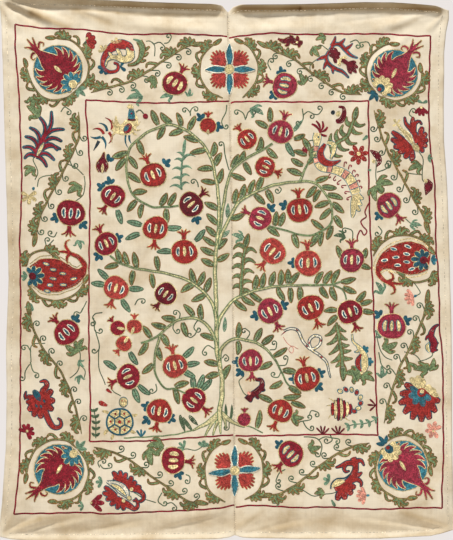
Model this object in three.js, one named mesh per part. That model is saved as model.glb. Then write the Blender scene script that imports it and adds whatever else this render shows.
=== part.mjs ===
// A hand-embroidered wall hanging: two lengths of cotton cloth, embroidered apart and then sewn
// edge to edge down the middle. It hangs from three points of its top edge, so that its top hem
// curls forward between them, and pull folds fan out of its corners.
//
// Millimetres, +Z up. The embroidered face looks along -Y and the wall would be the plane Y = 0.
// The origin is the middle fixing point, on the back of the cloth at the top of the seam.
import * as THREE from "three";

// The design is charted in squares, x to the right and y down from the cloth's top left corner.
const SQUARE = 2.5;
const FIXING_POINT = { x: 228, y: 12 };
const CLOTH_THICKNESS = 1.8;
const SEAM_GAP = 0.3;

// Depths are how far the front stands out from the wall, in millimetres.
const RESTING_OUT = 4;
const SLACK_OUT = 5;
const SLACK_FADE = 60;
const TOP_CURL = { depth: 11, out: 17, bend: 2 };
const BOTTOM_CURL = { depth: 6, out: 10, bend: 1.4 };
const CURL_FADE = 16;
const SEAM_GROOVE = { wide: 3.5, out: -2.2 };

// Each edge of the cloth as the chart's y (or x) against x (or y).
const TOP_EDGE = {
  left: [
    { at: -1, value: -1 },
    { at: 40, value: -1 },
    { at: 85, value: 0 },
    { at: 150, value: 2.9 },
    { at: 210, value: 4.8 },
    { at: 222, value: 5.5 },
    { at: 228, value: 12 },
  ],
  right: [
    { at: 228, value: 12 },
    { at: 233, value: 7.2 },
    { at: 240, value: 5.6 },
    { at: 300, value: 5 },
    { at: 365, value: 3 },
    { at: 393, value: 3.2 },
    { at: 415, value: 4.7 },
    { at: 435, value: 6.6 },
    { at: 449, value: 10 },
  ],
};
const BOTTOM_EDGE = {
  left: [
    { at: -2, value: 537 },
    { at: 10, value: 538.7 },
    { at: 35, value: 540.4 },
    { at: 115, value: 540 },
    { at: 215, value: 538.7 },
    { at: 229, value: 537.6 },
    { at: 235, value: 535.6 },
  ],
  right: [
    { at: 235, value: 535.6 },
    { at: 241, value: 537.4 },
    { at: 300, value: 538.5 },
    { at: 380, value: 538.2 },
    { at: 430, value: 535.6 },
    { at: 455, value: 530 },
  ],
};
const LEFT_SIDE = [
  { at: 0, value: -1 },
  { at: 25, value: 1.2 },
  { at: 60, value: 2.6 },
  { at: 135, value: 4.5 },
  { at: 200, value: 6.5 },
  { at: 280, value: 8.6 },
  { at: 350, value: 6 },
  { at: 400, value: 6.7 },
  { at: 450, value: 5.8 },
  { at: 505, value: 2.2 },
  { at: 538, value: -2 },
];
const RIGHT_SIDE = [
  { at: 9, value: 449.2 },
  { at: 24, value: 446.2 },
  { at: 45, value: 444.3 },
  { at: 100, value: 443.8 },
  { at: 135, value: 444 },
  { at: 185, value: 447.4 },
  { at: 270, value: 450 },
  { at: 330, value: 451.5 },
  { at: 450, value: 452.2 },
  { at: 515, value: 453.4 },
  { at: 531, value: 455 },
];
const SEAM = [
  { at: 12, value: 228 },
  { at: 100, value: 229.8 },
  { at: 200, value: 231.8 },
  { at: 300, value: 233.2 },
  { at: 440, value: 234.4 },
  { at: 536, value: 235 },
];
const HELD_AT_TOP = [-1, 228, 449];
const HELD_AT_BOTTOM = [-2, 235, 455];

// Soft ridges (out above 0) and troughs, each from x0, y0 to x1, y1. It is "near" wide at its
// start and "far" wide at its end, and stands highest at "peak", a share of the way along.
const FOLDS = [
  { x0: 2, y0: 0, x1: 78, y1: 31, near: 2, far: 8, out: 10, peak: 0.45 },
  { x0: 4, y0: 4, x1: 54, y1: 30, near: 1.5, far: 5, out: -4, peak: 0.45 },
  { x0: 1, y0: 2, x1: 20, y1: 34, near: 2, far: 6, out: 4, peak: 0.5 },
  { x0: 62, y0: 6, x1: 128, y1: 22, near: 4, far: 7, out: 4, peak: 0.4 },
  { x0: 120, y0: 24, x1: 226, y1: 31, near: 6, far: 5, out: 5.5, peak: 0.5 },
  { x0: 232, y0: 30, x1: 336, y1: 27, near: 5, far: 7, out: 5, peak: 0.45 },
  { x0: 447, y0: 11, x1: 366, y1: 31, near: 2, far: 7, out: 7, peak: 0.6 },
  { x0: 420, y0: 23, x1: 322, y1: 118, near: 4, far: 7, out: 4, peak: 0.5 },
  { x0: 447, y0: 12, x1: 424, y1: 34, near: 1.5, far: 4, out: 3, peak: 0.5 },
  { x0: 0, y0: 536, x1: 18, y1: 508, near: 2, far: 6, out: 4, peak: 0.5 },
  { x0: 2, y0: 536, x1: 66, y1: 511, near: 2, far: 7, out: 8, peak: 0.5 },
  { x0: 6, y0: 537, x1: 112, y1: 514, near: 3, far: 8, out: 6, peak: 0.65 },
  { x0: 140, y0: 528, x1: 232, y1: 508, near: 8, far: 4, out: 5, peak: 0.5 },
  { x0: 236, y0: 531, x1: 262, y1: 514, near: 2.5, far: 5, out: 4, peak: 0.45 },
  { x0: 237, y0: 532, x1: 330, y1: 524, near: 3, far: 7, out: 5, peak: 0.5 },
  { x0: 452, y0: 529, x1: 384, y1: 506, near: 2, far: 7, out: 8, peak: 0.5 },
  { x0: 453, y0: 528, x1: 438, y1: 500, near: 2, far: 5, out: 4, peak: 0.5 },
  { x0: 448, y0: 531, x1: 336, y1: 519, near: 3, far: 8, out: 5, peak: 0.6 },
];
// The cloth above the bottom hem leans back to the wall, between y of "from" and "to".
const LEAN = { from: 500, to: 533, out: 9 };

// Rows of the mesh, closer together where the folds are.
const COLUMNS = 30;
const ROW_BANDS = [
  { from: 0, to: 40, rows: 12 },
  { from: 40, to: 500, rows: 22 },
  { from: 500, to: 541, rows: 12 },
];

const smooth = (t) => t * t * (3 - 2 * t);
const clamp = THREE.MathUtils.clamp;
const lerp = THREE.MathUtils.lerp;

// The value of a table at a place between its rows.
function lookUp(table, at) {
  const last = table.length - 1;
  if (at <= table[0].at) return table[0].value;
  if (at >= table[last].at) return table[last].value;
  const next = table.findIndex((row) => row.at >= at);
  const { at: a, value: from } = table[next - 1];
  const { at: b, value: to } = table[next];
  return lerp(from, to, (at - a) / (b - a));
}

// 0 at a point where the cloth is held, and 1 away from it.
function freeOf(points, x) {
  return points.reduce(
    (share, point) => share * smooth(clamp(Math.abs(x - point) / CURL_FADE, 0, 1)),
    1,
  );
}

function curlOut(curl, fromEdge, share) {
  const t = clamp(fromEdge / curl.depth, 0, 1);
  return curl.out * share * (1 - t) ** curl.bend;
}

function foldOut(fold, x, y) {
  const along = new THREE.Vector2(fold.x1 - fold.x0, fold.y1 - fold.y0);
  const from = new THREE.Vector2(x - fold.x0, y - fold.y0);
  const t = clamp(from.dot(along) / along.lengthSq(), 0, 1);
  const away = from.addScaledVector(along, -t).length() / lerp(fold.near, fold.far, t);
  const rise = Math.sin(Math.PI * t ** (Math.log(0.5) / Math.log(fold.peak)));
  return fold.out * rise * Math.exp(-away * away);
}

// How far the front of the cloth stands out at a square of the chart.
function outAt(x, y, top, bottom) {
  const slack = clamp((y - top) / SLACK_FADE, 0, 1) * clamp((bottom - y) / SLACK_FADE, 0, 1);
  const groove = (x - lookUp(SEAM, y)) / SEAM_GROOVE.wide;
  const lean = smooth(clamp((LEAN.to - y) / (LEAN.to - LEAN.from), 0, 1));
  const folds = FOLDS.reduce((sum, fold) => sum + foldOut(fold, x, y), 0);
  const leanShare = y > LEAN.from - SLACK_FADE ? freeOf(HELD_AT_BOTTOM, x) : 1;
  const leanRise = smooth(clamp((y - LEAN.from + SLACK_FADE) / SLACK_FADE, 0, 1));
  return (
    RESTING_OUT +
    SLACK_OUT * smooth(slack) +
    SEAM_GROOVE.out * Math.exp(-groove * groove) +
    LEAN.out * lean * leanRise * leanShare +
    curlOut(TOP_CURL, y - top, freeOf(HELD_AT_TOP, x)) +
    curlOut(BOTTOM_CURL, bottom - y, freeOf(HELD_AT_BOTTOM, x)) +
    folds
  );
}

// The chart's y of each row of the mesh, as a share of the cloth's height.
function rowShares() {
  const height = ROW_BANDS.at(-1).to;
  const shares = [0];
  for (const band of ROW_BANDS)
    for (let row = 1; row <= band.rows; row++)
      shares.push(lerp(band.from, band.to, row / band.rows) / height);
  return shares;
}

// One panel of cloth: a box of many cells, moved on to the hanging cloth's two faces.
function panel(name, side, edges, material) {
  const shares = rowShares();
  const geometry = new THREE.BoxGeometry(1, 1, 1, COLUMNS, shares.length - 1, 1);
  const place = geometry.getAttribute("position");
  for (let i = 0; i < place.count; i++) {
    const across = place.getX(i) + 0.5;
    const down = shares[Math.round((0.5 - place.getY(i)) * (shares.length - 1))];
    const rough = down * ROW_BANDS.at(-1).to;
    const x = lerp(lookUp(edges.left, rough), lookUp(edges.right, rough), across);
    const top = lookUp(TOP_EDGE[side], x);
    const bottom = lookUp(BOTTOM_EDGE[side], x);
    const y = lerp(top, bottom, down);
    const behind = place.getZ(i) < 0 ? CLOTH_THICKNESS : 0;
    const joined = side === "left" ? across : 1 - across;
    const apart = (joined === 1 ? SEAM_GAP / 2 : 0) * (side === "left" ? -1 : 1);
    place.setXYZ(
      i,
      (x - FIXING_POINT.x) * SQUARE + apart,
      behind - outAt(x, y, top, bottom),
      (FIXING_POINT.y - y) * SQUARE,
    );
  }
  geometry.computeVertexNormals();
  const mesh = new THREE.Mesh(geometry, material);
  mesh.name = name;
  return mesh;
}

const cotton = new THREE.MeshStandardMaterial({ color: 0xe9dec6, roughness: 0.9, metalness: 0 });

const hanging = new THREE.Group();
hanging.add(
  panel("cloth_left", "left", { left: LEFT_SIDE, right: SEAM }, cotton),
  panel("cloth_right", "right", { left: SEAM, right: RIGHT_SIDE }, cotton),
);

export default hanging;
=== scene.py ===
# An embroidered suzani: two cotton panels sewn together, hung by three points of the top edge,
# and worked all over in rows of silk chain stitch. Metres, +Z up, the embroidered face to -Y.
import cmath
import math
import bpy
import numpy as np
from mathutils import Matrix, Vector


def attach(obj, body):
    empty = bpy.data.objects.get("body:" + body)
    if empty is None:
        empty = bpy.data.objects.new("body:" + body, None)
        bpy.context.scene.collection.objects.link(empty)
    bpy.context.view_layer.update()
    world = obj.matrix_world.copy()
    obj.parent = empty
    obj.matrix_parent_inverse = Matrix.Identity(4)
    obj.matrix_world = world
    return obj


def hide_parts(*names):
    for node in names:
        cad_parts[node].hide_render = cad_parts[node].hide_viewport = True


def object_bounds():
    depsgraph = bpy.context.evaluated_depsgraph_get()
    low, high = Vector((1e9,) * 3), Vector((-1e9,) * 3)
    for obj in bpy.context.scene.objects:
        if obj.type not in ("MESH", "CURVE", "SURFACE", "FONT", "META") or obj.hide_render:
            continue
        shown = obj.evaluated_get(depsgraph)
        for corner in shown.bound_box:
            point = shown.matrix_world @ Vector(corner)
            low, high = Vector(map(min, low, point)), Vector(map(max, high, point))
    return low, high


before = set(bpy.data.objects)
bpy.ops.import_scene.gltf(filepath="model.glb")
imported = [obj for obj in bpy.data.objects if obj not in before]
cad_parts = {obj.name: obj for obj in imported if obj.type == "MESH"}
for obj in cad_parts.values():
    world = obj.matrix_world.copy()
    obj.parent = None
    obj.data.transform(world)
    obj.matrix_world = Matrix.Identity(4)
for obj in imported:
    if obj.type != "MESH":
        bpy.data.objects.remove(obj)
cad_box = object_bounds()

# The design is charted in squares, x to the right and y down from the cloth's top left corner.
# A place on the chart is written as a pair, and is a complex number once it is worked with.
SQUARE = 0.0025
FIXING_POINT = complex(228, 12)
CHART_CENTRE = complex(226.5, 270)
PHOTO_TALL = 540
CLOTH_THICKNESS = 0.0013
# How deep a hem is and how softly it ends, in squares. It is "extra" metres thicker than the
# cloth at the back, and a share of that at the front.
HEM = {"deep": 5.0, "fade": 0.8, "extra": 0.0005, "front": 0.3}

# Depths are how far the front stands out from the wall, in metres.
RESTING_OUT = 0.004
SLACK_OUT = 0.005
SLACK_FADE = 60
TOP_CURL = {"depth": 11, "out": 0.017, "bend": 2}
BOTTOM_CURL = {"depth": 6, "out": 0.010, "bend": 1.4}
CURL_FADE = 16
SEAM_GROOVE = {"wide": 3.5, "out": -0.0022}
LEAN = {"from": 500, "to": 533, "out": 0.009}

# Columns of the cloth's mesh, and its rows: from, to and how many, closer where the folds are.
COLUMNS = 126
ROW_BANDS = ((0, 40, 34), (40, 500, 200), (500, 541, 34))

# Each edge of the cloth, as pairs of the chart's x and y.
TOP_EDGE = (
    (-1, -1), (40, -1), (85, 0), (150, 2.9), (210, 4.8), (222, 5.5), (228, 12),
    (233, 7.2), (240, 5.6), (300, 5), (365, 3), (393, 3.2), (415, 4.7), (435, 6.6), (449, 10),
)
BOTTOM_EDGE = (
    (-2, 537), (10, 538.7), (35, 540.4), (115, 540), (215, 538.7), (229, 537.6), (235, 535.6),
    (241, 537.4), (300, 538.5), (380, 538.2), (430, 535.6), (455, 530),
)
LEFT_SIDE = (
    (-1, 0), (1.2, 25), (2.6, 60), (4.5, 135), (6.5, 200), (8.6, 280), (6, 350), (6.7, 400),
    (5.8, 450), (2.2, 505), (-2, 538),
)
RIGHT_SIDE = (
    (449.2, 9), (446.2, 24), (444.3, 45), (443.8, 100), (444, 135), (447.4, 185), (450, 270),
    (451.5, 330), (452.2, 450), (453.4, 515), (455, 531),
)
SEAM = ((228, 12), (229.8, 100), (231.8, 200), (233.2, 300), (234.4, 440), (235, 536))
HELD_AT_TOP = (-1, 228, 449)
HELD_AT_BOTTOM = (-2, 235, 455)

# Soft ridges (out above 0) and troughs: from, to, width at each end, out in mm, and where
# along its length the fold stands highest.
FOLDS = (
    ((2, 0), (78, 31), 2, 8, 10, 0.45),
    ((4, 4), (54, 30), 1.5, 5, -4, 0.45),
    ((1, 2), (20, 34), 2, 6, 4, 0.5),
    ((62, 6), (128, 22), 4, 7, 4, 0.4),
    ((120, 24), (226, 31), 6, 5, 5.5, 0.5),
    ((232, 30), (336, 27), 5, 7, 5, 0.45),
    ((447, 11), (366, 31), 2, 7, 7, 0.6),
    ((420, 23), (322, 118), 4, 7, 4, 0.5),
    ((447, 12), (424, 34), 1.5, 4, 3, 0.5),
    ((0, 536), (18, 508), 2, 6, 4, 0.5),
    ((2, 536), (66, 511), 2, 7, 8, 0.5),
    ((6, 537), (112, 514), 3, 8, 6, 0.65),
    ((140, 528), (232, 508), 8, 4, 5, 0.5),
    ((236, 531), (262, 514), 2.5, 5, 4, 0.45),
    ((237, 532), (330, 524), 3, 7, 5, 0.5),
    ((452, 529), (384, 506), 2, 7, 8, 0.5),
    ((453, 528), (438, 500), 2, 5, 4, 0.5),
    ((448, 531), (336, 519), 3, 8, 5, 0.6),
)
# Sharper troughs that lie between those folds, in the same terms.
PULLS = (
    ((6, 4), (44, 19), 1.6, 2.6, -2.4, 0.5),
    ((30, 10), (72, 27), 1.8, 3, -2.8, 0.5),
    ((40, 7), (118, 12), 1.6, 2, -1.6, 0.5),
    ((74, 10), (112, 23), 1.8, 3, -1.8, 0.5),
    ((118, 15), (222, 18), 2, 2, -1.7, 0.5),
    ((236, 15), (330, 14), 1.8, 2.4, -1.6, 0.5),
    ((330, 24), (400, 14), 2.4, 2, -1.4, 0.5),
    ((442, 13), (398, 24), 1.6, 2.6, -2.4, 0.5),
    ((445, 16), (434, 34), 1.6, 2.4, -1.6, 0.5),
    ((2, 534), (36, 515), 1.6, 2.6, -3.8, 0.45),
    ((14, 534), (92, 515), 1.8, 3, -4, 0.5),
    ((0, 528), (12, 506), 1.6, 2.2, -2.4, 0.5),
    ((70, 535), (150, 519), 2, 3, -3.2, 0.5),
    ((150, 533), (226, 514), 2.4, 2, -3.2, 0.5),
    ((238, 532), (260, 514), 1.6, 2.4, -3.2, 0.5),
    ((242, 535), (308, 518), 1.8, 3, -3.6, 0.5),
    ((452, 528), (406, 512), 1.6, 2.8, -4, 0.5),
    ((448, 531), (350, 516), 1.8, 3, -3.6, 0.5),
)

# Silk colours, as they look by daylight, and the cloth's.
THREADS = {
    "crimson": (134, 23, 39),
    "wine": (104, 16, 30),
    "rose": (150, 44, 62),
    "brick": (154, 42, 36),
    "coral": (172, 62, 54),
    "deep": (34, 74, 88),
    "teal": (34, 88, 102),
    "sky": (52, 116, 130),
    "leaf": (114, 134, 92),
    "moss": (78, 98, 70),
    "mint": (112, 144, 116),
    "bark": (132, 92, 40),
    "straw": (226, 206, 150),
    "stalk": (208, 198, 148),
    "sand": (206, 186, 134),
    "pink": (228, 156, 134),
    "ivory": (238, 230, 206),
    "ink": (40, 52, 58),
    "twine": (222, 208, 180),
}
COTTON = (232, 220, 197)

# Stitching sizes: a row's pitch and the length of a stitch in squares, heights in metres.
PITCH = 0.95
STITCH = 1.3
STEP = 1.7
ROW_RISE = 0.00034
LAYER_RISE = 0.0003
BASE_RISE = 0.00008
EDGE_WIDTH = 0.95
# How unevenly the rows are dyed, and how far they drift off the drawing.
SHADE_SPREAD = 0.12
HAND_DRIFT = 0.22
HEM_STITCH = {"inside": 0.4, "long": 2.6, "gap": 1.4, "wide": 0.6}
SEAM_STITCH = {"pitch": 2.2, "reach": 1.2, "slant": 0.5, "wide": 0.5}

# How wide a filled shape is along its length, as shares of its greatest width.
EVEN = ((0, 1), (1, 1))
LEAF = ((0, 0.3), (0.2, 0.84), (0.46, 1), (0.76, 0.78), (1, 0.14))
SEED = ((0, 0.45), (0.3, 1), (0.7, 1), (1, 0.45))
TAIL = ((0, 1), (0.45, 0.85), (1, 0.16))
TINE = ((0, 0.8), (0.5, 1), (0.8, 0.85), (1, 0.4))
LOBE = ((0, 1), (0.5, 0.95), (0.85, 0.7), (1, 0.3))
PETAL = ((0, 0.35), (0.5, 0.85), (0.8, 1), (1, 0.5))
SPIRE = ((0, 0.3), (0.3, 0.9), (0.5, 1), (0.75, 0.75), (1, 0.1))
HOOK = ((0, 0.7), (0.25, 1), (0.5, 0.8), (0.66, 0.5), (1, 0.12))

chance = np.random.default_rng(7)


# Working with the chart

def chart(pairs):
    """The places of a list of pairs."""
    return np.array([complex(*pair) for pair in pairs])


def turn(degrees):
    """A turn, clockwise as the cloth is seen, to multiply a place by."""
    return cmath.exp(1j * math.radians(degrees))


def degrees_of(way):
    """The direction of a way, clockwise from the chart's x."""
    return math.degrees(cmath.phase(way))


def lengths_of(line):
    """How far along a line each of its points is."""
    return np.concatenate(([0], np.cumsum(abs(np.diff(line)))))


def curve(places, step=STEP):
    """A smooth line through some places, cut into even steps."""
    places = np.asarray(places, complex)
    before = 2 * places[0] - places[1]
    after = 2 * places[-1] - places[-2]
    a, b, c, d = (
        np.concatenate(([before], places, [after]))[k:len(places) - 1 + k, None] for k in range(4)
    )
    t = np.linspace(0, 1, 9)[None, :-1]
    fine = 0.5 * (2 * b + (c - a) * t + (2 * a - 5 * b + 4 * c - d) * t ** 2
                  + (3 * b - a - 3 * c + d) * t ** 3)
    fine = np.append(fine.ravel(), places[-1])
    along = lengths_of(fine)
    steps = max(2, round(along[-1] / step))
    at = np.linspace(0, along[-1], steps + 1)
    return np.interp(at, along, fine.real) + 1j * np.interp(at, along, fine.imag)


def across(line):
    """The unit direction square to each point of a line, to its clockwise side."""
    tangent = np.gradient(line)
    return 1j * tangent / np.maximum(abs(tangent), 1e-9)


def place_on(line, share):
    """The place at a share of a line's length, and the unit way the line runs there."""
    along = lengths_of(line)
    at = along[-1] * share
    tangent = np.gradient(line)
    place = np.interp(at, along, line.real) + 1j * np.interp(at, along, line.imag)
    way = np.interp(at, along, tangent.real) + 1j * np.interp(at, along, tangent.imag)
    return place, way / abs(way)


def nearest_share(line, place):
    """How far along a line its point nearest to a place is, as a share of its length."""
    along = lengths_of(line)
    return along[np.argmin(abs(line - place))] / along[-1]


def shape_of(profile, line):
    """A profile's share of the full width at each point of a line."""
    along = lengths_of(line)
    at, share = zip(*profile)
    return np.interp(along / along[-1], at, share)


def frame_at(place, degrees, scale=1.0, side=1):
    """A function that carries places from a motif's own square on to the chart."""
    def put(*local):
        local = np.asarray(local, complex)
        return complex(place) + (local.real + 1j * side * local.imag) * turn(degrees) * scale
    return put


def bow(root, tip, bend):
    """Places of a bowed line; it rises to its clockwise side by a share of its length."""
    t = np.array([0, 0.25, 0.5, 0.75, 1])
    return root + (tip - root) * (t + 4j * bend * t * (1 - t))


# The hanging cloth

def between(value, low, high):
    """0 below low and 1 above high, with a soft start and end."""
    t = np.clip((value - low) / (high - low), 0, 1)
    return t * t * (3 - 2 * t)


def edge_at(edge, x):
    """The chart's y of the top or the bottom edge at some x."""
    xs, ys = zip(*edge)
    return np.interp(x, xs, ys)


def side_at(side, y):
    """The chart's x of a side, or of the seam, at some y."""
    xs, ys = zip(*side)
    return np.interp(y, ys, xs)


def free_of(held, x):
    """0 where the cloth is held, and 1 away from there."""
    share = 1.0
    for place in held:
        share = share * between(abs(x - place), 0, CURL_FADE)
    return share


def curl_out(curl, from_edge, share):
    """How far a share of a hem's curl stands out."""
    t = np.clip(from_edge / curl["depth"], 0, 1)
    return curl["out"] * share * (1 - t) ** curl["bend"]


def fold_out(z, fold):
    """How far one fold stands out."""
    start, end, near, far, out, peak = fold
    start, end = complex(*start), complex(*end)
    along = end - start
    t = np.clip(((z - start) * along.conjugate()).real / abs(along) ** 2, 0, 1)
    away = abs(z - start - along * t) / (near + (far - near) * t)
    rise = np.sin(np.pi * t ** (math.log(0.5) / math.log(peak)))
    return out / 1000 * rise * np.exp(-away * away)


def crumple_out(z):
    """Small slack waves and puckers that old cloth keeps."""
    x, y = z.real, z.imag
    waves = (
        0.9 * np.sin(x / 17 + 1.3 * np.sin(y / 43)) * np.sin(y / 29 + 0.7)
        + 0.6 * np.sin((x + y) / 11 + np.sin(x / 31)) * np.sin((x - y) / 23)
        + 0.7 * np.sin(y / 7 + 2.2 * np.sin(x / 37) + np.sin(y / 61)) * np.sin(x / 19 + np.sin(y / 27))
        + 0.6 * np.sin(x / 4.7 + 2 * np.sin(y / 13)) * np.sin(y / 4.6 + np.sin(x / 17))
        + 0.28 * np.sin(x / 2.9 + 1.8 * np.sin(y / 7.3)) * np.sin(y / 2.7 + 1.6 * np.sin(x / 8.9))
    )
    sharp = abs(np.sin(y / 19 + 0.9 * np.sin(x / 27) + 0.35 * np.sin(x / 9)))
    slanted = abs(np.sin((x - 0.7 * y) / 31 + 0.8 * np.sin(y / 21) + 0.3 * np.sin(x / 8)))
    creases = (
        1.0 * (1 - sharp) ** 4 * np.sin(x / 33 + y / 47)
        + 0.9 * (1 - slanted) ** 5 * np.sin(x / 41 - y / 29 + 1)
    )
    seam = abs(x - side_at(SEAM, y))
    pucker = 0.35 * np.sin(y / 2.3 + 1.5 * np.sin(y / 21)) * np.exp(-(seam / 5) ** 2)
    return (waves + creases + pucker) / 1000


def cloth_out(z):
    """How far the front of the cloth stands out at places on the chart."""
    x, y = z.real, z.imag
    top, bottom = edge_at(TOP_EDGE, x), edge_at(BOTTOM_EDGE, x)
    slack = np.clip((y - top) / SLACK_FADE, 0, 1) * np.clip((bottom - y) / SLACK_FADE, 0, 1)
    groove = (x - side_at(SEAM, y)) / SEAM_GROOVE["wide"]
    lean = between(LEAN["to"] - y, 0, LEAN["to"] - LEAN["from"])
    lean_rise = between(y, LEAN["from"] - SLACK_FADE, LEAN["from"])
    out = (
        RESTING_OUT
        + SLACK_OUT * slack * slack * (3 - 2 * slack)
        + SEAM_GROOVE["out"] * np.exp(-groove * groove)
        + LEAN["out"] * lean * lean_rise * free_of(HELD_AT_BOTTOM, x)
        + curl_out(TOP_CURL, y - top, free_of(HELD_AT_TOP, x))
        + curl_out(BOTTOM_CURL, bottom - y, free_of(HELD_AT_BOTTOM, x))
        + crumple_out(z)
    )
    for fold in FOLDS + PULLS:
        out = out + fold_out(z, fold)
    return out


def on_cloth(z, lift):
    """Points in the row frame at places on the chart, raised off the front by lift."""
    away = z - FIXING_POINT
    return np.stack([away.real * SQUARE, -cloth_out(z) - lift, -away.imag * SQUARE], axis=-1)


# Meshes

def new_object(name, verts, faces, material):
    mesh = bpy.data.meshes.new(name)
    mesh.vertices.add(len(verts))
    mesh.vertices.foreach_set("co", verts.astype(np.float32).ravel())
    mesh.loops.add(faces.size)
    mesh.loops.foreach_set("vertex_index", faces.astype(np.int32).ravel())
    mesh.polygons.add(len(faces))
    sides = faces.shape[1]
    mesh.polygons.foreach_set("loop_start", np.arange(len(faces), dtype=np.int32) * sides)
    mesh.update(calc_edges=True)
    mesh.validate()
    mesh.shade_smooth()
    mesh.materials.append(material)
    thing = bpy.data.objects.new(name, mesh)
    bpy.context.collection.objects.link(thing)
    return thing


def set_uv(mesh, name, per_vertex):
    corners = np.empty(len(mesh.loops), np.int32)
    mesh.loops.foreach_get("vertex_index", corners)
    layer = mesh.uv_layers.new(name=name)
    layer.data.foreach_set("uv", per_vertex[corners].astype(np.float32).ravel())


def set_colour(mesh, name, per_vertex):
    layer = mesh.color_attributes.new(name, "FLOAT_COLOR", "POINT")
    rgba = np.concatenate([per_vertex, np.ones((len(per_vertex), 1))], axis=1)
    layer.data.foreach_set("color", rgba.astype(np.float32).ravel())


def flat_uv(verts):
    """The piece seen face on, spread over the whole square."""
    flat = verts[:, [0, 2]]
    low, high = flat.min(axis=0), flat.max(axis=0)
    return (flat - low) / (high - low)


def quads_of(grid):
    """The four corners of each cell of a grid of vertices."""
    return np.stack([grid[:-1, :-1], grid[1:, :-1], grid[1:, 1:], grid[:-1, 1:]], -1).reshape(-1, 4)


def linear(rgb):
    """A colour of 0 to 255 in the linear light that materials work in."""
    c = np.asarray(rgb, float) / 255
    return np.where(c <= 0.04045, c / 12.92, ((c + 0.055) / 1.055) ** 2.4)


# Stitching

pieces = {}


def new_piece(name):
    """A list that the rows of one piece of embroidery are added to."""
    pieces[name] = []
    return pieces[name]


def row(rows, line, width, thread, layer=0):
    """One row of chain stitch along a line, some squares wide."""
    line = np.asarray(line, complex)
    width = np.broadcast_to(np.asarray(width, float), line.shape)
    shade = np.clip(linear(THREADS[thread]) * chance.normal(1, SHADE_SPREAD), 0, 1)
    rows.append((line, width, shade, layer))


def runs_of(inside):
    """The unbroken runs of points that are inside, two points or longer."""
    marks = np.flatnonzero(np.diff(np.concatenate(([0], inside.astype(int), [0]))))
    return [slice(a, b) for a, b in zip(marks[::2], marks[1::2]) if b - a > 1]


def stroke(rows, places, width, thread, profile, edge=None, layer=0, step=STEP, rim=EDGE_WIDTH):
    """A band filled with rows side by side, drawn to its profile, with an outline if asked."""
    line = curve(places, step)
    full = width * shape_of(profile, line)
    side = across(line)
    if edge:
        half = side * (full / 2 + rim * 0.3)
        end = line[-1] + (line[-1] - line[-2]) * 0.3
        row(rows, np.concatenate([line + half, [end], (line - half)[::-1]]), rim, edge, layer)
        layer += 1
    count = max(1, round(width / PITCH))
    if count < 5:
        for k in range(count):
            row(rows, line + side * full * ((k + 0.5) / count - 0.5), full / count * 1.12, thread,
                layer)
        return
    inner = np.maximum(full / 2 - PITCH / 2, 0)
    tip = line[-1] + (line[-1] - line[-2]) * 0.25
    row(rows, np.concatenate([line + side * inner, [tip], (line - side * inner)[::-1]]), PITCH * 1.15,
        thread, layer)
    for k in range(-(count // 2), count // 2 + 1):
        inside = abs(k) * PITCH < inner - PITCH * 0.45
        for run in runs_of(inside):
            row(rows, (line + side * k * PITCH)[run], PITCH * 1.2, thread, layer)


def ring(rows, centre, radii, width, thread, layer, turned=0):
    """One closed row. The radii are at even angles, the first along the turned direction."""
    radii = np.append(radii, radii[0])
    angles = np.linspace(0, 2 * np.pi, len(radii))
    row(rows, centre + radii * np.exp(1j * angles) * turn(turned), width, thread, layer)


def disc(rows, centre, radii, thread, edge, layer, turned=0, inner=0.0, rim=EDGE_WIDTH):
    """A round shape filled with rings, whose radii are at even angles."""
    radii = np.asarray(radii, float)
    if edge:
        ring(rows, centre, radii + rim * 0.3, rim, edge, layer, turned)
        layer += 1
    mean = radii.mean()
    count = max(1, round((1 - inner) * mean / PITCH))
    for k in range(count):
        share = inner + (1 - inner) * (k + 0.5) / count
        sides = max(7, round(2 * np.pi * share * mean / STEP))
        at = np.linspace(0, 1, sides, endpoint=False)
        there = np.interp(at * len(radii), np.arange(len(radii) + 1), np.append(radii, radii[0]))
        there = mean + (there - mean) * share
        ring(rows, centre, there * share, mean / count * (1 - inner) * 1.12, thread, layer, turned)


def oval(long, wide, dent=0.0):
    """The radii of an oval, long along its own axis, with a dent at that end."""
    angle = np.linspace(0, 2 * np.pi, 24, endpoint=False)
    radii = long * wide / np.hypot(wide * np.cos(angle), long * np.sin(angle))
    nearness = np.exp(-(np.minimum(angle, 2 * np.pi - angle) / 0.5) ** 2)
    return radii * (1 - dent * nearness)


# Small motifs

def coil(rows, anchor, centre, hand, size=3.3, thread="moss", width=1.2, turns=1.25):
    """A tendril that leaves its anchor and winds up round a centre."""
    away = anchor - centre
    reach = max(abs(away), size * 1.01)
    start = cmath.phase(away) + hand * math.acos(size / reach)
    share = np.linspace(0, 1, 13)
    wound = centre + size * (1 - 0.8 * share) * np.exp(1j * (start + hand * share * turns * 2 * np.pi))
    line = curve(np.concatenate([[anchor], wound]), 1.1)
    row(rows, line, width * (1 + 0.5 * np.linspace(0, 1, len(line)) ** 6), thread)


def tendril(rows, pairs, hand):
    """A fine stem through some places that ends in a coil."""
    size = 2.9
    places = chart(pairs)
    way = places[-1] - places[-2]
    centre = places[-1] + 1j * hand * size * way / abs(way)
    share = np.linspace(0, 1, 11)[1:]
    start = cmath.phase(places[-1] - centre)
    wound = centre + size * (1 - 0.75 * share) * np.exp(1j * (start + hand * share * 2.1 * np.pi))
    line = curve(np.concatenate([places, wound]), 1.2)
    row(rows, line, 1.15 * (1 + 0.5 * np.linspace(0, 1, len(line)) ** 6), "moss")


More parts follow.
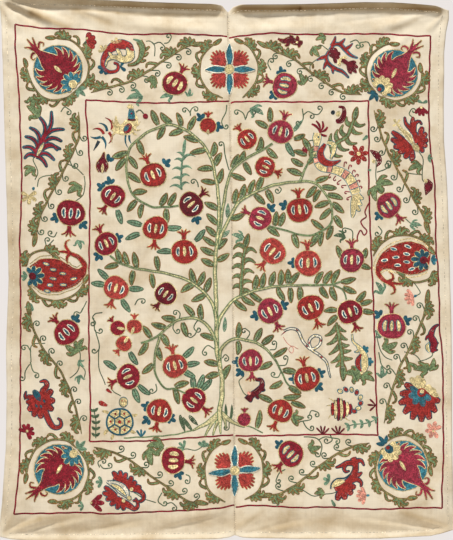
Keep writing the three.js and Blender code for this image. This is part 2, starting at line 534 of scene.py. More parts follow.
def leaf(rows, root, degrees, long, wide, bend=0.0, thread="leaf", edge="bark", layer=0):
    """A pointed leaf with a thread outline."""
    put = frame_at(root, degrees, long)
    stroke(rows, put(0, 0.33 + 0.5j * bend, 0.68 + 0.4j * bend, 1), wide, thread, LEAF, edge, layer,
           step=2.0, rim=1.45)
    if edge and wide > 4:
        row(rows, curve(put(0.08, 0.33 + 0.5j * bend, 0.68 + 0.4j * bend, 0.86), 2.4), 1.0, "moss",
            layer + 2)


def leaf_about(rows, x, y, degrees, long, *looks):
    """A leaf set by its middle."""
    leaf(rows, complex(x, y) - turn(degrees) * long / 2, degrees, long, *looks)


def blade(rows, root, tip, bend, width, thread, profile, edge=None, layer=0, step=1.5):
    """A bowed band from its root to its tip."""
    stroke(rows, bow(complex(root), complex(tip), bend), width, thread, profile, edge, layer, step)


def lobes(rows, thread, edge, width, profile, table):
    """Bowed blades of one thread and width. Each is its root, its tip and its bend."""
    for root, tip, bend in table:
        blade(rows, root, tip, bend, width, thread, profile, edge)


def bands(rows, thread, edge, table, step=STEP, profile=TAIL):
    """Bands of one thread. Each is its places and how wide it is."""
    for pairs, width in table:
        stroke(rows, chart(pairs), width, thread, profile, edge, 0, step, rim=1.3)


def fan(rows, root, degrees, spread, lengths, width, thread, profile, edge=None, layer=0,
        start=0.0):
    """Lobes that open from one root over a spread of degrees, one for each length."""
    t = np.array([start, 0.35, 0.7, 1])
    for k, long in enumerate(lengths):
        share = k / (len(lengths) - 1) - 0.5 if len(lengths) > 1 else 0
        line = complex(root) + turn(degrees + spread * share) * long * t
        stroke(rows, line, width, thread, profile, edge, layer, step=1.5)


def crown(rows, root, degrees, size, thread, tines):
    """The crown of a pomegranate: a short neck that opens into tines."""
    put = frame_at(root, degrees, size)
    stroke(rows, put(-0.3, 0.5), size * 0.38, thread, EVEN, "sand", 0, step=1.2)
    for k in range(tines):
        spread = 2 * k / (tines - 1) - 1
        tip = 1.2 - 0.22 * abs(spread) ** 2 + 0.72j * spread
        stroke(rows, put(0.1, 0.45 + 0.1j * spread, 0.82 + 0.34j * spread, tip), 1.7, thread, TINE,
               "sand", step=1.2)


def comma(rows, places, wide, layer):
    """A bean-shaped seed: an ivory skin round a teal heart."""
    stroke(rows, places, wide, "ivory", SEED, None, layer, step=1.2)
    heart = places * 0.78 + places[1] * 0.22
    stroke(rows, heart, wide * 0.5, "teal", SEED, None, layer + 1, step=1.2)


def pomegranate(name, x, y, r, degrees, thread, seeds):
    """A round fruit, a little uneven, with three seeds in a row across it unless it is a bud."""
    rows = new_piece(name)
    centre = complex(x, y)
    put = frame_at(centre, degrees, r)
    long = 0.98
    crown(rows, put(long * 0.93)[0], degrees, r * 0.74, thread, 3 if seeds == "none" else 4)
    angle = np.linspace(0, 2 * np.pi, 24, endpoint=False)
    lumps = 1 + 0.03 * np.cos(2 * angle + r + x) + 0.025 * np.cos(3 * angle + y)
    disc(rows, centre, oval(r * long, r * 1.02, dent=0.07) * lumps, thread, "sand", 1, degrees,
         rim=1.2)
    if seeds == "none":
        return
    for k in (-1, 0, 1):
        ends = put(-0.36 + 0.5j * k, 0.02 + 0.56j * k, 0.4 + 0.44j * k)
        if seeds == "cored" or (seeds == "comma" and k):
            comma(rows, ends, r * (0.3 if seeds == "cored" else 0.28), 3)
        else:
            stroke(rows, ends, r * (0.32 if seeds == "plain" else 0.24), "straw", SEED,
                   "sky" if seeds == "ringed" else None, 3, step=1.2)


def lobed_leaf(rows, root, degrees, size, side, thread, edge):
    """A leaf with one long lobe and a short lobe on each hand, one of them hooked."""
    put = frame_at(root, degrees, size, side)
    for line, wide, profile in (
        (put(0, 0.3 + 0.06j, 0.62 + 0.02j, 0.95 - 0.14j), 0.36, LEAF),
        (put(0.08, 0.26 + 0.2j, 0.44 + 0.38j, 0.72 + 0.36j), 0.2, LOBE),
        (put(0.08, 0.2 - 0.2j, 0.34 - 0.36j, 0.22 - 0.54j), 0.2, LOBE),
    ):
        stroke(rows, line, wide * size, thread, profile, edge, 0, step=1.5)


# The vines of the border

def palmette(rows, put):
    """A cut leaf that grows from one side of a vine and leans the way the vine grows."""
    for line, profile, layer in (
        (put(-0.5 + 1j, 1.8 + 5j, 5.4 + 9.4j), LOBE, 0),
        (put(-2.5 + 1j, -4 + 4j, -5 + 8j), LOBE, 0),
        (put(-1.5 + 1j, -1.2 + 5j, 0.6 + 10j), LOBE, 2),
        (put(-3.5 + 1j, -6 + 2.2j, -9 + 4.2j), LOBE, 2),
        (put(0.5 + 1j, 4 + 4.6j, 7.6 + 6.2j, 10.4 + 3.6j), LOBE, 2),
        (put(-9.5 + 0.6j, -3 + 1.6j, 3 + 1.8j, 7.5 + 1j), LEAF, 0),
    ):
        stroke(rows, line, 2.3, "leaf", profile, "bark", layer, step=1.5, rim=1.2)


def horn(rows, put):
    """A curved spur on one side of a vine, with its tip the way the vine grows."""
    stroke(rows, put(-4 + 0.6j, -1.6 + 3.6j, 1.4 + 6.4j, 5.2 + 7.2j, 8 + 4.8j), 1.7, "leaf", TAIL,
           "bark", 0, step=1.4, rim=1.25)


def vine(name, pairs, side, motifs, first=0.1, last=0.92, coils=(), tip=True, size=0.9):
    """A stem with palmettes (P) and horns (H) along one side, and coils on the other."""
    rows = new_piece(name)
    line = curve(chart(pairs), 2.0)
    for k, kind in enumerate(motifs):
        place, way = place_on(line, first + (last - first) * k / (len(motifs) - 1))
        put = frame_at(place, degrees_of(way), size, side)
        (palmette if kind == "P" else horn)(rows, put)
    taper = shape_of(((0, 0.5), (0.08, 1), (0.92, 1), (1, 0.4)), line)
    row(rows, line, 2.3 * taper, "bark", 2)
    row(rows, line, 0.8 * taper, "leaf", 3)
    for pair in coils:
        centre = complex(*pair)
        share = nearest_share(line, centre)
        anchor, _ = place_on(line, min(1, share + 3.2 / lengths_of(line)[-1]))
        coil(rows, anchor, centre, side)
    if tip:
        place, way = place_on(line, 0)
        leaf(rows, place + way * 8, degrees_of(-way), 13, 3.4, 0.0)


VINES = {
    # from the middle of a side towards a corner; the side its leaves are on; leaves; coils
    "vine_top_left": (
        ((199.8, 44), (190.2, 45), (178.7, 50.7), (162.4, 61.2), (150, 69.9), (138.8, 76.6),
         (124.4, 83.3), (105.3, 88), (90.9, 92.3)), 1, "PPHPHP",
        ((109.6, 92.5), (121.5, 90), (133, 86), (146.4, 80), (157.2, 73.7), (168.2, 65.6),
         (178.2, 57.9), (188.3, 52)),
    ),
    "vine_top_right": (
        ((262, 44), (277.3, 51.7), (288.8, 56.5), (300, 63.3), (314.6, 75), (329.3, 84.9),
         (342, 92.2), (361.5, 94.6)), -1, "PPHPHP",
        ((275.8, 56.5), (289.2, 64), (300, 72), (310.7, 79), (321.5, 86.5), (331.7, 92.5),
         (343, 97)),
    ),
    "vine_left_upper": (
        ((34.4, 241.2), (39.2, 219.2), (45.9, 203.9), (53.6, 189.5), (61.2, 175.2), (67, 163.7),
         (73.7, 150.3), (79, 135), (78.5, 112)), -1, "PPHPHPHP",
        ((84.2, 138.3), (80.4, 152.7), (75.6, 165.6), (66, 178.5), (59.3, 191.5), (51.7, 205.8),
         (45, 218.7), (41.6, 231.7)),
    ),
    "vine_left_lower": (
        ((28.7, 307.3), (30.6, 319.8), (36.4, 336), (45, 351.3), (57.4, 366.7), (65, 380),
         (72.7, 399.2), (78.5, 420.3), (81.3, 433.7)), 1, "PHPHPHP",
        ((36.8, 323.6), (43.5, 338.4), (52.2, 351.3), (60.3, 363.8), (74.2, 389.6), (78.5, 402),
         (84.2, 418.4)),
    ),
    "vine_right_upper": (
        ((427.8, 228.7), (422, 213), (415, 201.3), (405.4, 183.8), (395.6, 166.2),
         (387.8, 151.6), (381, 134), (374, 110.2)), 1, "PPHPHP",
        ((373.2, 128.8), (377, 139), (381.5, 152.6), (387.2, 165.2), (393.5, 177), (399.5, 188.7),
         (406, 199.9), (414.6, 212)),
    ),
    "vine_right_lower": (
        ((427.8, 295.4), (424.9, 311), (421, 323.7), (414, 338.3), (406.3, 354.9),
         (399.5, 367.6), (394.6, 383.2), (388.8, 401.7), (383.9, 423.5)), -1, "PHPHPHP",
        ((419.5, 306), (415.6, 318.8), (409.7, 332.4), (403.4, 346), (396, 357.3), (389.7, 371.5),
         (386.3, 386), (382, 401.7)),
    ),
    "vine_bottom_left": (
        ((202.6, 502.6), (188.3, 500.7), (176.8, 493), (164.4, 484.4), (150, 475.3),
         (143.5, 470), (129.2, 459.5), (112, 451.9), (94.3, 447.1)), -1, "PPHPHP",
        ((121, 448.5), (133, 454.8), (146.4, 464.3), (159.6, 474), (171, 482.5), (184.4, 490.2),
         (196.4, 495.4)),
    ),
    "vine_bottom_right": (
        ((263.9, 495), (277.3, 494), (288.8, 488.3), (300, 481.3), (314.6, 469.4),
         (329.3, 458.7), (343.9, 449.9), (358.5, 445), (369.8, 443)), 1, "PPHPHP",
        ((278.7, 485.4), (291.6, 477.8), (302, 471.4), (313.2, 463.5), (324.4, 454.8),
         (337, 447), (348.8, 441.6)),
    ),
}


def border_vines():
    for name, (pairs, side, motifs, coils) in VINES.items():
        vine(name, pairs, side, motifs, coils=coils)


# The four round flowers of the corners

def medallion(name, centre, r, crown_way, flower_way, seed_way, thread, pale_flower):
    """A flame-edged fruit on a teal disc, with a flower at its foot."""
    rows = new_piece(name)
    centre = complex(*centre)
    out = frame_at(centre, crown_way, r)
    disc(rows, centre, np.full(24, r), "sky", "sand", 0, inner=0.45, rim=1.3)
    disc(rows, centre, oval(r * 0.62, r * 0.54), thread, None, 3, crown_way)
    stroke(rows, out(0.25, 0.55, 0.82, 1.02, 1.2), r * 0.86, thread,
           ((0, 1), (0.35, 0.8), (0.62, 0.44), (0.8, 0.28), (1, 0.22)), "straw", 2, step=1.5)
    teeth = 14
    for k in range(teeth):
        at = 46 + 268 * k / (teeth - 1)
        if abs(at - 180) < 16:
            continue
        sweep = 1 if at < 180 else -1
        root = out(0.42 * turn(at + 14 * sweep))[0]
        tip = out(0.93 * turn(at - 7 * sweep))[0]
        blade(rows, root, tip, 0.2 * sweep, r * 0.25, thread,
              ((0, 1), (0.4, 0.8), (0.7, 0.45), (1, 0.06)), "straw", 2, step=1.3)
    neck = frame_at(out(1.16)[0], crown_way)
    for line, width in (
        (neck(-2, 5 + 0.4j, 10 + 1.2j, 15.5 + 2.2j), 3.6),
        (neck(-1, 4 + 2j, 8 + 4.6j, 12 + 7j), 2.8),
        (neck(-1, 4 - 1.6j, 8 - 3j, 11.5 - 5.4j), 2.8),
        (neck(-1 + 1j, 2.5 + 5j, 3.6 + 8.6j, 0.6 + 10.4j, -1 + 8j), 2.2),
        (neck(-1 - 1j, 1.4 - 4.6j, 0 - 8.6j, -3.2 - 8.8j, -3.6 - 6.4j), 2.2),
    ):
        stroke(rows, line, width, thread, TAIL, "sand", 1, step=1.4)
    seed = frame_at(centre, seed_way, 1)
    stroke(rows, seed(-5.2, 0, 5.2), 3.4, "straw", LEAF, None, 5, step=1.4)
    foot = frame_at(centre, flower_way, r)
    heart = foot(0.86)[0]
    petal, rim = ("straw", "sand") if pale_flower else ("sky", "straw")
    fan(rows, heart, flower_way + 180, 196, (8.6, 10.4, 11.8, 12.2, 11.8, 10.4, 8.6), 4.6, petal,
        PETAL, rim, 5, start=0.2)
    disc(rows, heart, np.full(10, 4.2), "teal" if pale_flower else "straw", None, 7)
    if pale_flower:
        disc(rows, heart + turn(flower_way) * 1.8, np.full(8, 2.0), "brick", None, 8)
    fan(rows, foot(1.12)[0], flower_way, 96, (9, 11, 9), 4.2, "teal" if pale_flower else "mint",
        LEAF, None, 2, start=0.05)


MEDALLIONS = {
    # middle, radius, way of the crown, flower and seed, thread, pale flower
    "medallion_top_left": ((58.1, 69.6), 24.2, 221.5, 44, 41, "crimson", False),
    "medallion_top_right": ((394.1, 73.4), 23.4, 306.6, 133, 115, "rose", True),
    "medallion_bottom_left": ((59.3, 469.1), 24.5, 135, 313, 120, "crimson", False),
    "medallion_bottom_right": ((402.4, 465.5), 24.5, 45, 231, 60, "rose", True),
}
ARCS = {
    # places from the foot of each flower round its rim, the side the flower is on, the leaves
    "arc_top_left_over": (
        ((77.5, 89), (86.6, 79.4), (88.8, 68), (86.6, 58), (81.3, 48.8), (70.9, 40.2),
         (50.2, 36.8)), -1, "PHPHP"),
    "arc_top_left_under": (
        ((77.5, 89), (68, 97.5), (57.4, 100), (47.8, 99.5), (38.3, 93.4), (31.5, 83.3),
         (27.3, 70.8), (24.4, 63.2)), 1, "PHPHP"),
    "arc_top_right_over": (
        ((376, 92.4), (368.3, 84), (366, 73), (367.3, 62), (374, 51.7), (384, 45),
         (394, 43.4)), 1, "PHPHP"),
    "arc_top_right_under": (
        ((378, 95.4), (387, 99.4), (397.6, 101), (410.2, 96.6), (418.6, 87.8), (422, 78),
         (421.5, 68.3)), -1, "PHPHP"),
    "arc_bottom_left_over": (
        ((76.6, 448), (67, 440.6), (55, 439.4), (43, 443.3), (33.5, 451.9), (28.4, 464.3),
         (25.4, 478)), -1, "PHPHP"),
    "arc_bottom_left_under": (
        ((77.5, 449), (86.1, 459.6), (88.9, 472), (85.1, 487.2), (76.6, 496.4), (65, 500.7),
         (53, 502)), 1, "PHPHP"),
    "arc_bottom_right_over": (
        ((386.8, 441.2), (397.6, 435.4), (409.2, 435.9), (420, 443), (426.2, 453.8),
         (429.8, 464.6), (430.6, 470)), 1, "PHPHP"),
    "arc_bottom_right_under": (
        ((383, 447.9), (376.6, 458.7), (375.4, 473.3), (380, 486), (390.7, 495.2),
         (402, 498.6), (412.2, 498.1)), -1, "PHPHP"),
    "arc_rosette_top_left": (
        ((222.8, 98), (209.8, 92.2), (202, 82.2), (199.6, 71.7), (200.6, 60.2), (206.5, 50),
         (217, 41.4)), 1, "PHPHP"),
    "arc_rosette_top_right": (
        ((242.3, 97.4), (251.4, 89), (257.2, 78.4), (258.4, 67), (255.4, 55.5), (248.5, 46),
         (239.4, 40.6)), -1, "PHPHP"),
    "arc_rosette_bottom_left": (
        ((225.6, 501.6), (215, 495.9), (207.1, 486.3), (204.6, 471), (206.7, 458.6),
         (214, 448.4), (226.1, 441.4)), 1, "PHPHP"),
    "arc_rosette_bottom_right": (
        ((244.7, 499.1), (254.7, 494), (261.4, 485.3), (263.6, 470), (261.1, 457.6),
         (254.3, 447.1), (243.3, 440.6)), -1, "PHPHP"),
    "arc_paisley_left_over": (
        ((26.8, 266), (28.6, 257.4), (36, 251.6), (46, 250.4), (55, 256)), 1, "PP"),
    "arc_paisley_left_under": (
        ((27.8, 284.4), (38.3, 296.3), (52.6, 300.7), (67, 298.8), (79.4, 290.4), (86.6, 279.6)),
        -1, "PHPHP"),
    "arc_paisley_right_over": (
        ((373.2, 256), (380.9, 243.3), (395.6, 235.6), (412.2, 235.8), (424.4, 241.3),
         (432.4, 250)), 1, "PHPHP"),
    "arc_paisley_right_under": (
        ((433, 271), (429.8, 277.8), (422, 281.7), (412, 281.4), (402.4, 276)), 1, "PP"),
}


def round_flowers():
    for name, values in MEDALLIONS.items():
        medallion(name, *values)
    for name, (pairs, side, motifs) in ARCS.items():
        vine(name, pairs, -side, motifs, 0.16, 0.84, tip=False, size=0.78)
        line = curve(chart(pairs), 2.0)
        place, way = place_on(line, 0.94)
        leaf(pieces[name], place, degrees_of(way) + side * 6, 9, 3.0, 0.1 * side)


def rosette(name, centre, petals):
    """Four teal petals in a cross, with scalloped red fans between them."""
    rows = new_piece(name)
    centre = complex(*centre)
    for long, degrees in petals:
        put = frame_at(centre, degrees)
        stroke(rows, put(5, long * 0.35, long * 0.7, long), 6.2, "sky",
               ((0, 0.5), (0.3, 0.95), (0.5, 1), (0.8, 0.6), (1, 0.08)), "ivory", 4, step=1.6,
               rim=1.3)
        wedge = frame_at(centre, degrees + 45)
        stroke(rows, wedge(6, 10, 14.4, 17.8), 14, "coral", ((0, 0.16), (0.5, 0.6), (1, 1)), None, 2,
               step=1.5)
        for k, long in enumerate((19, 21.6, 23, 24, 23, 21.6, 19)):
            lobe = bow(wedge(8 * turn(7 * (k - 3)))[0], wedge(long * turn(8.6 * (k - 3)))[0], 0)
            stroke(rows, lobe, 2.9, "coral", ((0, 0.3), (0.7, 1), (1, 0.5)), "sand", 0, step=1.5,
                   rim=0.6)
    disc(rows, centre, np.full(12, 4.0), "straw", "sand", 6)


def rosettes():
    rosette("rosette_top", (229.5, 69.4), ((25, 0), (24.5, 90), (24, 180), (25.5, 270)))
    rosette("rosette_bottom", (234.7, 470.6), ((25.5, -6), (25.3, 90), (25.6, 174), (24.5, 270)))


# The two large drop-shaped flowers of the sides

def paisley(name, spine, widths, tail, tips, skin, heart, seeds, flower):
    """A brick drop with a curling tail and split tips, seeds over it and a flower at its foot."""
    rows = new_piece(name)
    full = max(w for _, w in widths)
    outer = tuple((at, (w + 5) / (full + 5)) for at, w in widths)
    line = curve(chart(spine))
    half = across(line) * (full + 6) / 2 * shape_of(outer, line)
    row(rows, np.concatenate([line + half, (line - half)[::-1]]), 1.1, "sand")
    stroke(rows, chart(spine), full, "brick", tuple((at, w / full) for at, w in widths), "sand", 2,
           step=1.7)
    stroke(rows, chart(tail), 5.2, "brick", ((0, 1), (0.6, 0.7), (1, 0.5)), "sand", 1, step=1.5)
    for pairs in tips:
        stroke(rows, chart(pairs), 2.9, "brick", TAIL, "sand", 1, step=1.4)
    for x, y, degrees in seeds:
        put = frame_at(complex(x, y), degrees)
        stroke(rows, put(-3.4, 0, 3.4), 3.2, skin, SEED, None, 4, step=1.3)
        stroke(rows, put(-2.4, 0, 2.4), 1.9, heart, SEED, None, 5, step=1.3)
    place, degrees = complex(*flower[0]), flower[1]
    fan(rows, place, degrees, 230, (9, 10, 11, 11.6, 11, 10, 9), 4.6, "teal", PETAL, "straw", 5,
        start=0.15)
    disc(rows, place, np.full(10, 3.8), "wine", None, 7)


def paisleys():
    paisley(
        "paisley_left",
        ((30.5, 275), (40, 274.6), (50, 275.2), (62, 276.2), (73, 276.4), (81, 273), (85, 267)),
        ((0, 17), (0.16, 30), (0.34, 34), (0.5, 31), (0.68, 22), (0.85, 11), (1, 4.4)),
        ((83.6, 271), (84.6, 265), (80, 258.6), (73, 254.4), (68.5, 252.6)),
        (((70, 253), (64, 252), (56.5, 251.3)), ((69.5, 252.6), (66, 247), (66.5, 242), (70, 240)),
         ((70, 253), (67, 257.5), (67.8, 263.4))),
        "sky", "straw",
        ((46, 264, 15), (62.7, 273.8, 5), (73.7, 278.6, -12), (53, 278.6, 8), (50.2, 285.3, 8),
         (63.6, 284.8, 8), (47.4, 291, 20), (53.5, 269.6, 10)),
        ((32.5, 276.2), -4),
    )
    paisley(
        "paisley_right",
        ((429.5, 261), (420, 259.4), (410, 258), (398, 258), (388, 260.4), (381, 265.4),
         (378, 271)),
        ((0, 17), (0.16, 29), (0.34, 33), (0.5, 30), (0.68, 22), (0.85, 12), (1, 4.6)),
        ((379, 266), (378.4, 273), (383, 279.6), (388.6, 283.4)),
        (((387.6, 283), (396, 283.4), (407.3, 284.1)), ((388, 283), (394, 287), (394.6, 292),
         (391, 294.4)), ((387, 282), (392, 279.6), (392.7, 274.9), (389, 271.4))),
        "ivory", "sky",
        ((393.7, 249, 10), (407.8, 246.7, 20), (406.3, 254, 5), (395.6, 257.4, 0),
         (384.4, 260.4, -15), (406.8, 261.8, 8), (397.6, 265.4, 0), (411.5, 269, -14)),
        ((423.4, 259.9), 184),
    )


# The red lines of the border

LINES = {
    "outer_line": (
        ((15.3, 24.4), (46, 28.2), (81, 29.2), (108, 32.5), (137, 34.3), (176, 33.7), (227.5, 36.2)),
        ((228.8, 37.5), (250.5, 34.9), (274, 33), (300, 34.3), (377, 33.7), (417, 36), (430.8, 35.6)),
        ((15.3, 24.4), (15.3, 46), (16.3, 62), (18.2, 84), (19.6, 110), (20.3, 135), (21.8, 173),
         (20.6, 221), (19.6, 240), (20.3, 270), (20.6, 337), (20.3, 405), (19.6, 462), (17.2, 491),
         (14.4, 513.6)),
        ((14.4, 513.6), (47.8, 513), (86, 512.2), (109, 513.6), (150, 511.7), (207, 508.8),
         (234.3, 505.5)),
        ((235.6, 507.4), (255, 505), (300, 507.3), (324, 506.5), (373, 509), (407, 507.5),
         (442, 507.5)),
        ((430.8, 35.6), (429.8, 58), (428.8, 98), (429.5, 135), (430.8, 153), (434.5, 181),
         (435.6, 218), (436, 249), (438, 270), (439.5, 309), (439.5, 328), (442.5, 358),
         (443, 405), (443.4, 454), (441.5, 488), (442, 507.5)),
    ),
    "inner_line": (
        ((85.6, 100), (150, 103), (188, 102.4), (228.8, 101)),
        ((230.4, 103.3), (241, 101.6), (300, 102), (368.3, 101)),
        ((368.3, 101), (368.3, 117), (369, 135), (368.8, 184), (370.7, 242), (372, 270),
         (373.7, 309), (375, 358), (376.6, 405), (377.9, 435.3)),
        ((89.5, 441.4), (134, 441.2), (150, 440.6), (188, 438), (233.3, 434.9)),
        ((235.6, 436), (274, 435.6), (300, 434.9), (349, 434.3), (377.9, 435.3)),
        ((85.6, 100), (86, 115), (87.8, 135), (90, 183), (89, 270), (89, 347), (90.4, 405),
         (89.5, 441.4)),
    ),
}


def border_lines():
    for name, lines in LINES.items():
        rows = new_piece(name)
        for line in lines:
            row(rows, curve(chart(line), 2.2), 1.7, "crimson")


# x, y, radius, crown's direction, thread, seeds
FRUIT = (
    (113, 196.2, 11.5, 126, "crimson", "comma"), (106.2, 243.6, 11.5, 244, "crimson", "comma"),
    (153, 175, 12.5, 247, "brick", "comma"), (155.7, 228.3, 12, 96, "brick", "comma"),
    (191.1, 204.4, 12, 318, "wine", "comma"), (184.4, 251.7, 12.5, 268, "brick", "comma"),
    (116, 288, 12, 108, "coral", "comma"), (165.8, 293.9, 10.8, 127, "wine", "comma"),
    (174.9, 365.7, 12, 260, "coral", "comma"), (128.2, 376.7, 12, 160, "crimson", "comma"),
    (194, 400, 12, 40, "crimson", "comma"), (159.5, 411, 12, 102, "brick", "comma"),
    (280.6, 131.6, 12, 285, "rose", "comma"), (265.3, 167, 10, 24, "brick", "comma"),
    (260, 218.3, 11.5, 203, "rose", "comma"), (299.6, 209.9, 12.4, 265, "brick", "comma"),
    (272.5, 251.3, 12.7, 127, "coral", "comma"), (308, 263, 13, 268, "coral", "comma"),
    (351.7, 260, 12, 270, "rose", "comma"), (270, 311, 12.5, 63, "rose", "comma"),
    (310.7, 307.6, 12.8, 66, "brick", "comma"), (349.8, 312, 12, 68, "crimson", "comma"),
    (250.5, 360.9, 11.5, 85, "rose", "comma"), (306.8, 378.3, 12.5, 258, "brick", "comma"),
    (280.4, 411, 11.8, 113, "brick", "comma"), (247, 139, 9.8, 232, "brick", "comma"),
    (207.9, 125.4, 7.7, 272, "brick", "none"), (117.7, 327.9, 7.3, 230, "crimson", "none"),
    (134.4, 326.5, 7.3, 270, "coral", "none"), (123.9, 343.7, 7.5, 130, "coral", "none"),
    (244.3, 419.4, 6.5, 270, "rose", "none"),
    (174.9, 83.3, 12, 300, "crimson", "plain"), (284.5, 85.6, 12.5, 195, "rose", "ringed"),
    (70.8, 213, 13.5, 96, "crimson", "cored"), (66.5, 332.2, 12.5, 227, "crimson", "cored"),
    (388.8, 205.2, 12.3, 52, "rose", "ringed"), (391.7, 326.1, 13.3, 270, "rose", "ringed"),
    (173.4, 460, 12.3, 5, "crimson", "plain"), (290.7, 453.8, 12.5, 133, "crimson", "ringed"),
)
TEAL_TUFTS = (
    (100, 186), (109, 180), (54, 218.3), (84.2, 226), (119.6, 237.4), (97.6, 257.5),
    (167.2, 161.8), (196.9, 221), (199.8, 116.3), (219.5, 127), (281, 70.3), (272.5, 96.2),
    (272, 206.8), (282.5, 204.9), (291.6, 262.8), (253.8, 315.9), (285.4, 304.4), (236, 361.9),
    (239, 373.3), (292.6, 379), (322, 372.4), (320, 388), (76.6, 317.8), (378, 217),
    (377.6, 313.4), (408.3, 319.8), (172.5, 419.4), (145.5, 421.3), (145, 406), (179.7, 475.8),
    (278.2, 443.3), (108.6, 158),
)
PLAIN_LEAVES = (
    (119.6, 216.3), (134.9, 223.5), (133, 236.4), (173.5, 227.8), (199.8, 235.5), (164.8, 251.7),
    (290.2, 149.4), (103.3, 274.8), (98.6, 284.4), (135.9, 288.7), (125.8, 305.4), (110, 365.2),
    (133.5, 358), (136.4, 395.4), (144, 389.6), (188.3, 352.3), (192, 363.8), (188.3, 373.3),
    (193, 382.9), (200.7, 382), (206.5, 384.8),
)
UPRIGHT_LEAVES = (
    # middle, way it points, length
    (227.5, 210.6, 275, 14), (225.6, 233.6, 320, 10), (224.6, 324.5, 272, 14),
    (297.4, 126, 312, 15), (182.5, 423.2, 75, 17), (187.6, 424, 55, 16), (193.6, 420.4, 48, 13),
)
STRAW_BUDS = (
    # middle, way it points, length
    (207.9, 132, 270, 5.5), (121, 328.5, 5, 8), (132.5, 331, 110, 8), (126.5, 339.5, 300, 8),
    (102.4, 168, 272, 9),
)


def fruits():
    for k, values in enumerate(FRUIT):
        pomegranate(f"pomegranate_{k + 1}", *values)


def beside_fruit(pairs):
    """Each place, and the unit way to it from the middle of the nearest fruit."""
    middles = chart([values[:2] for values in FRUIT])
    for place in chart(pairs):
        way = place - middles[np.argmin(abs(middles - place))]
        yield place, way / abs(way)


def fruit_leaves():
    """Teal tufts and plain leaves, each growing away from the fruit beside it."""
    rows = new_piece("teal_tufts")
    for place, way in beside_fruit(TEAL_TUFTS):
        fan(rows, place - way * 3.4, degrees_of(way), 124, (5.8, 7.4, 5.8), 4.0, "teal", SEED)
    rows = new_piece("plain_leaves")
    for place, way in beside_fruit(PLAIN_LEAVES):
        leaf(rows, place - way * 7, degrees_of(way), 14, 4.4, 0.06, "mint", "moss")
    for x, y, degrees, long in UPRIGHT_LEAVES:
        leaf_about(rows, x, y, degrees, long, 4.4, 0.05, "mint" if y < 400 else "moss", None)
    rows = new_piece("straw_buds")
    for values in STRAW_BUDS:
        leaf_about(rows, *values, 3.2, 0, "straw", None, 3)
    drop = new_piece("drop_fruit")
    stroke(drop, chart(((102.2, 172), (102, 166), (103, 159), (104.4, 152))), 12.5, "wine",
           ((0, 0.6), (0.22, 1), (0.42, 0.9), (0.7, 0.35), (1, 0.06)), "sand", 1, step=1.4)


# The tree

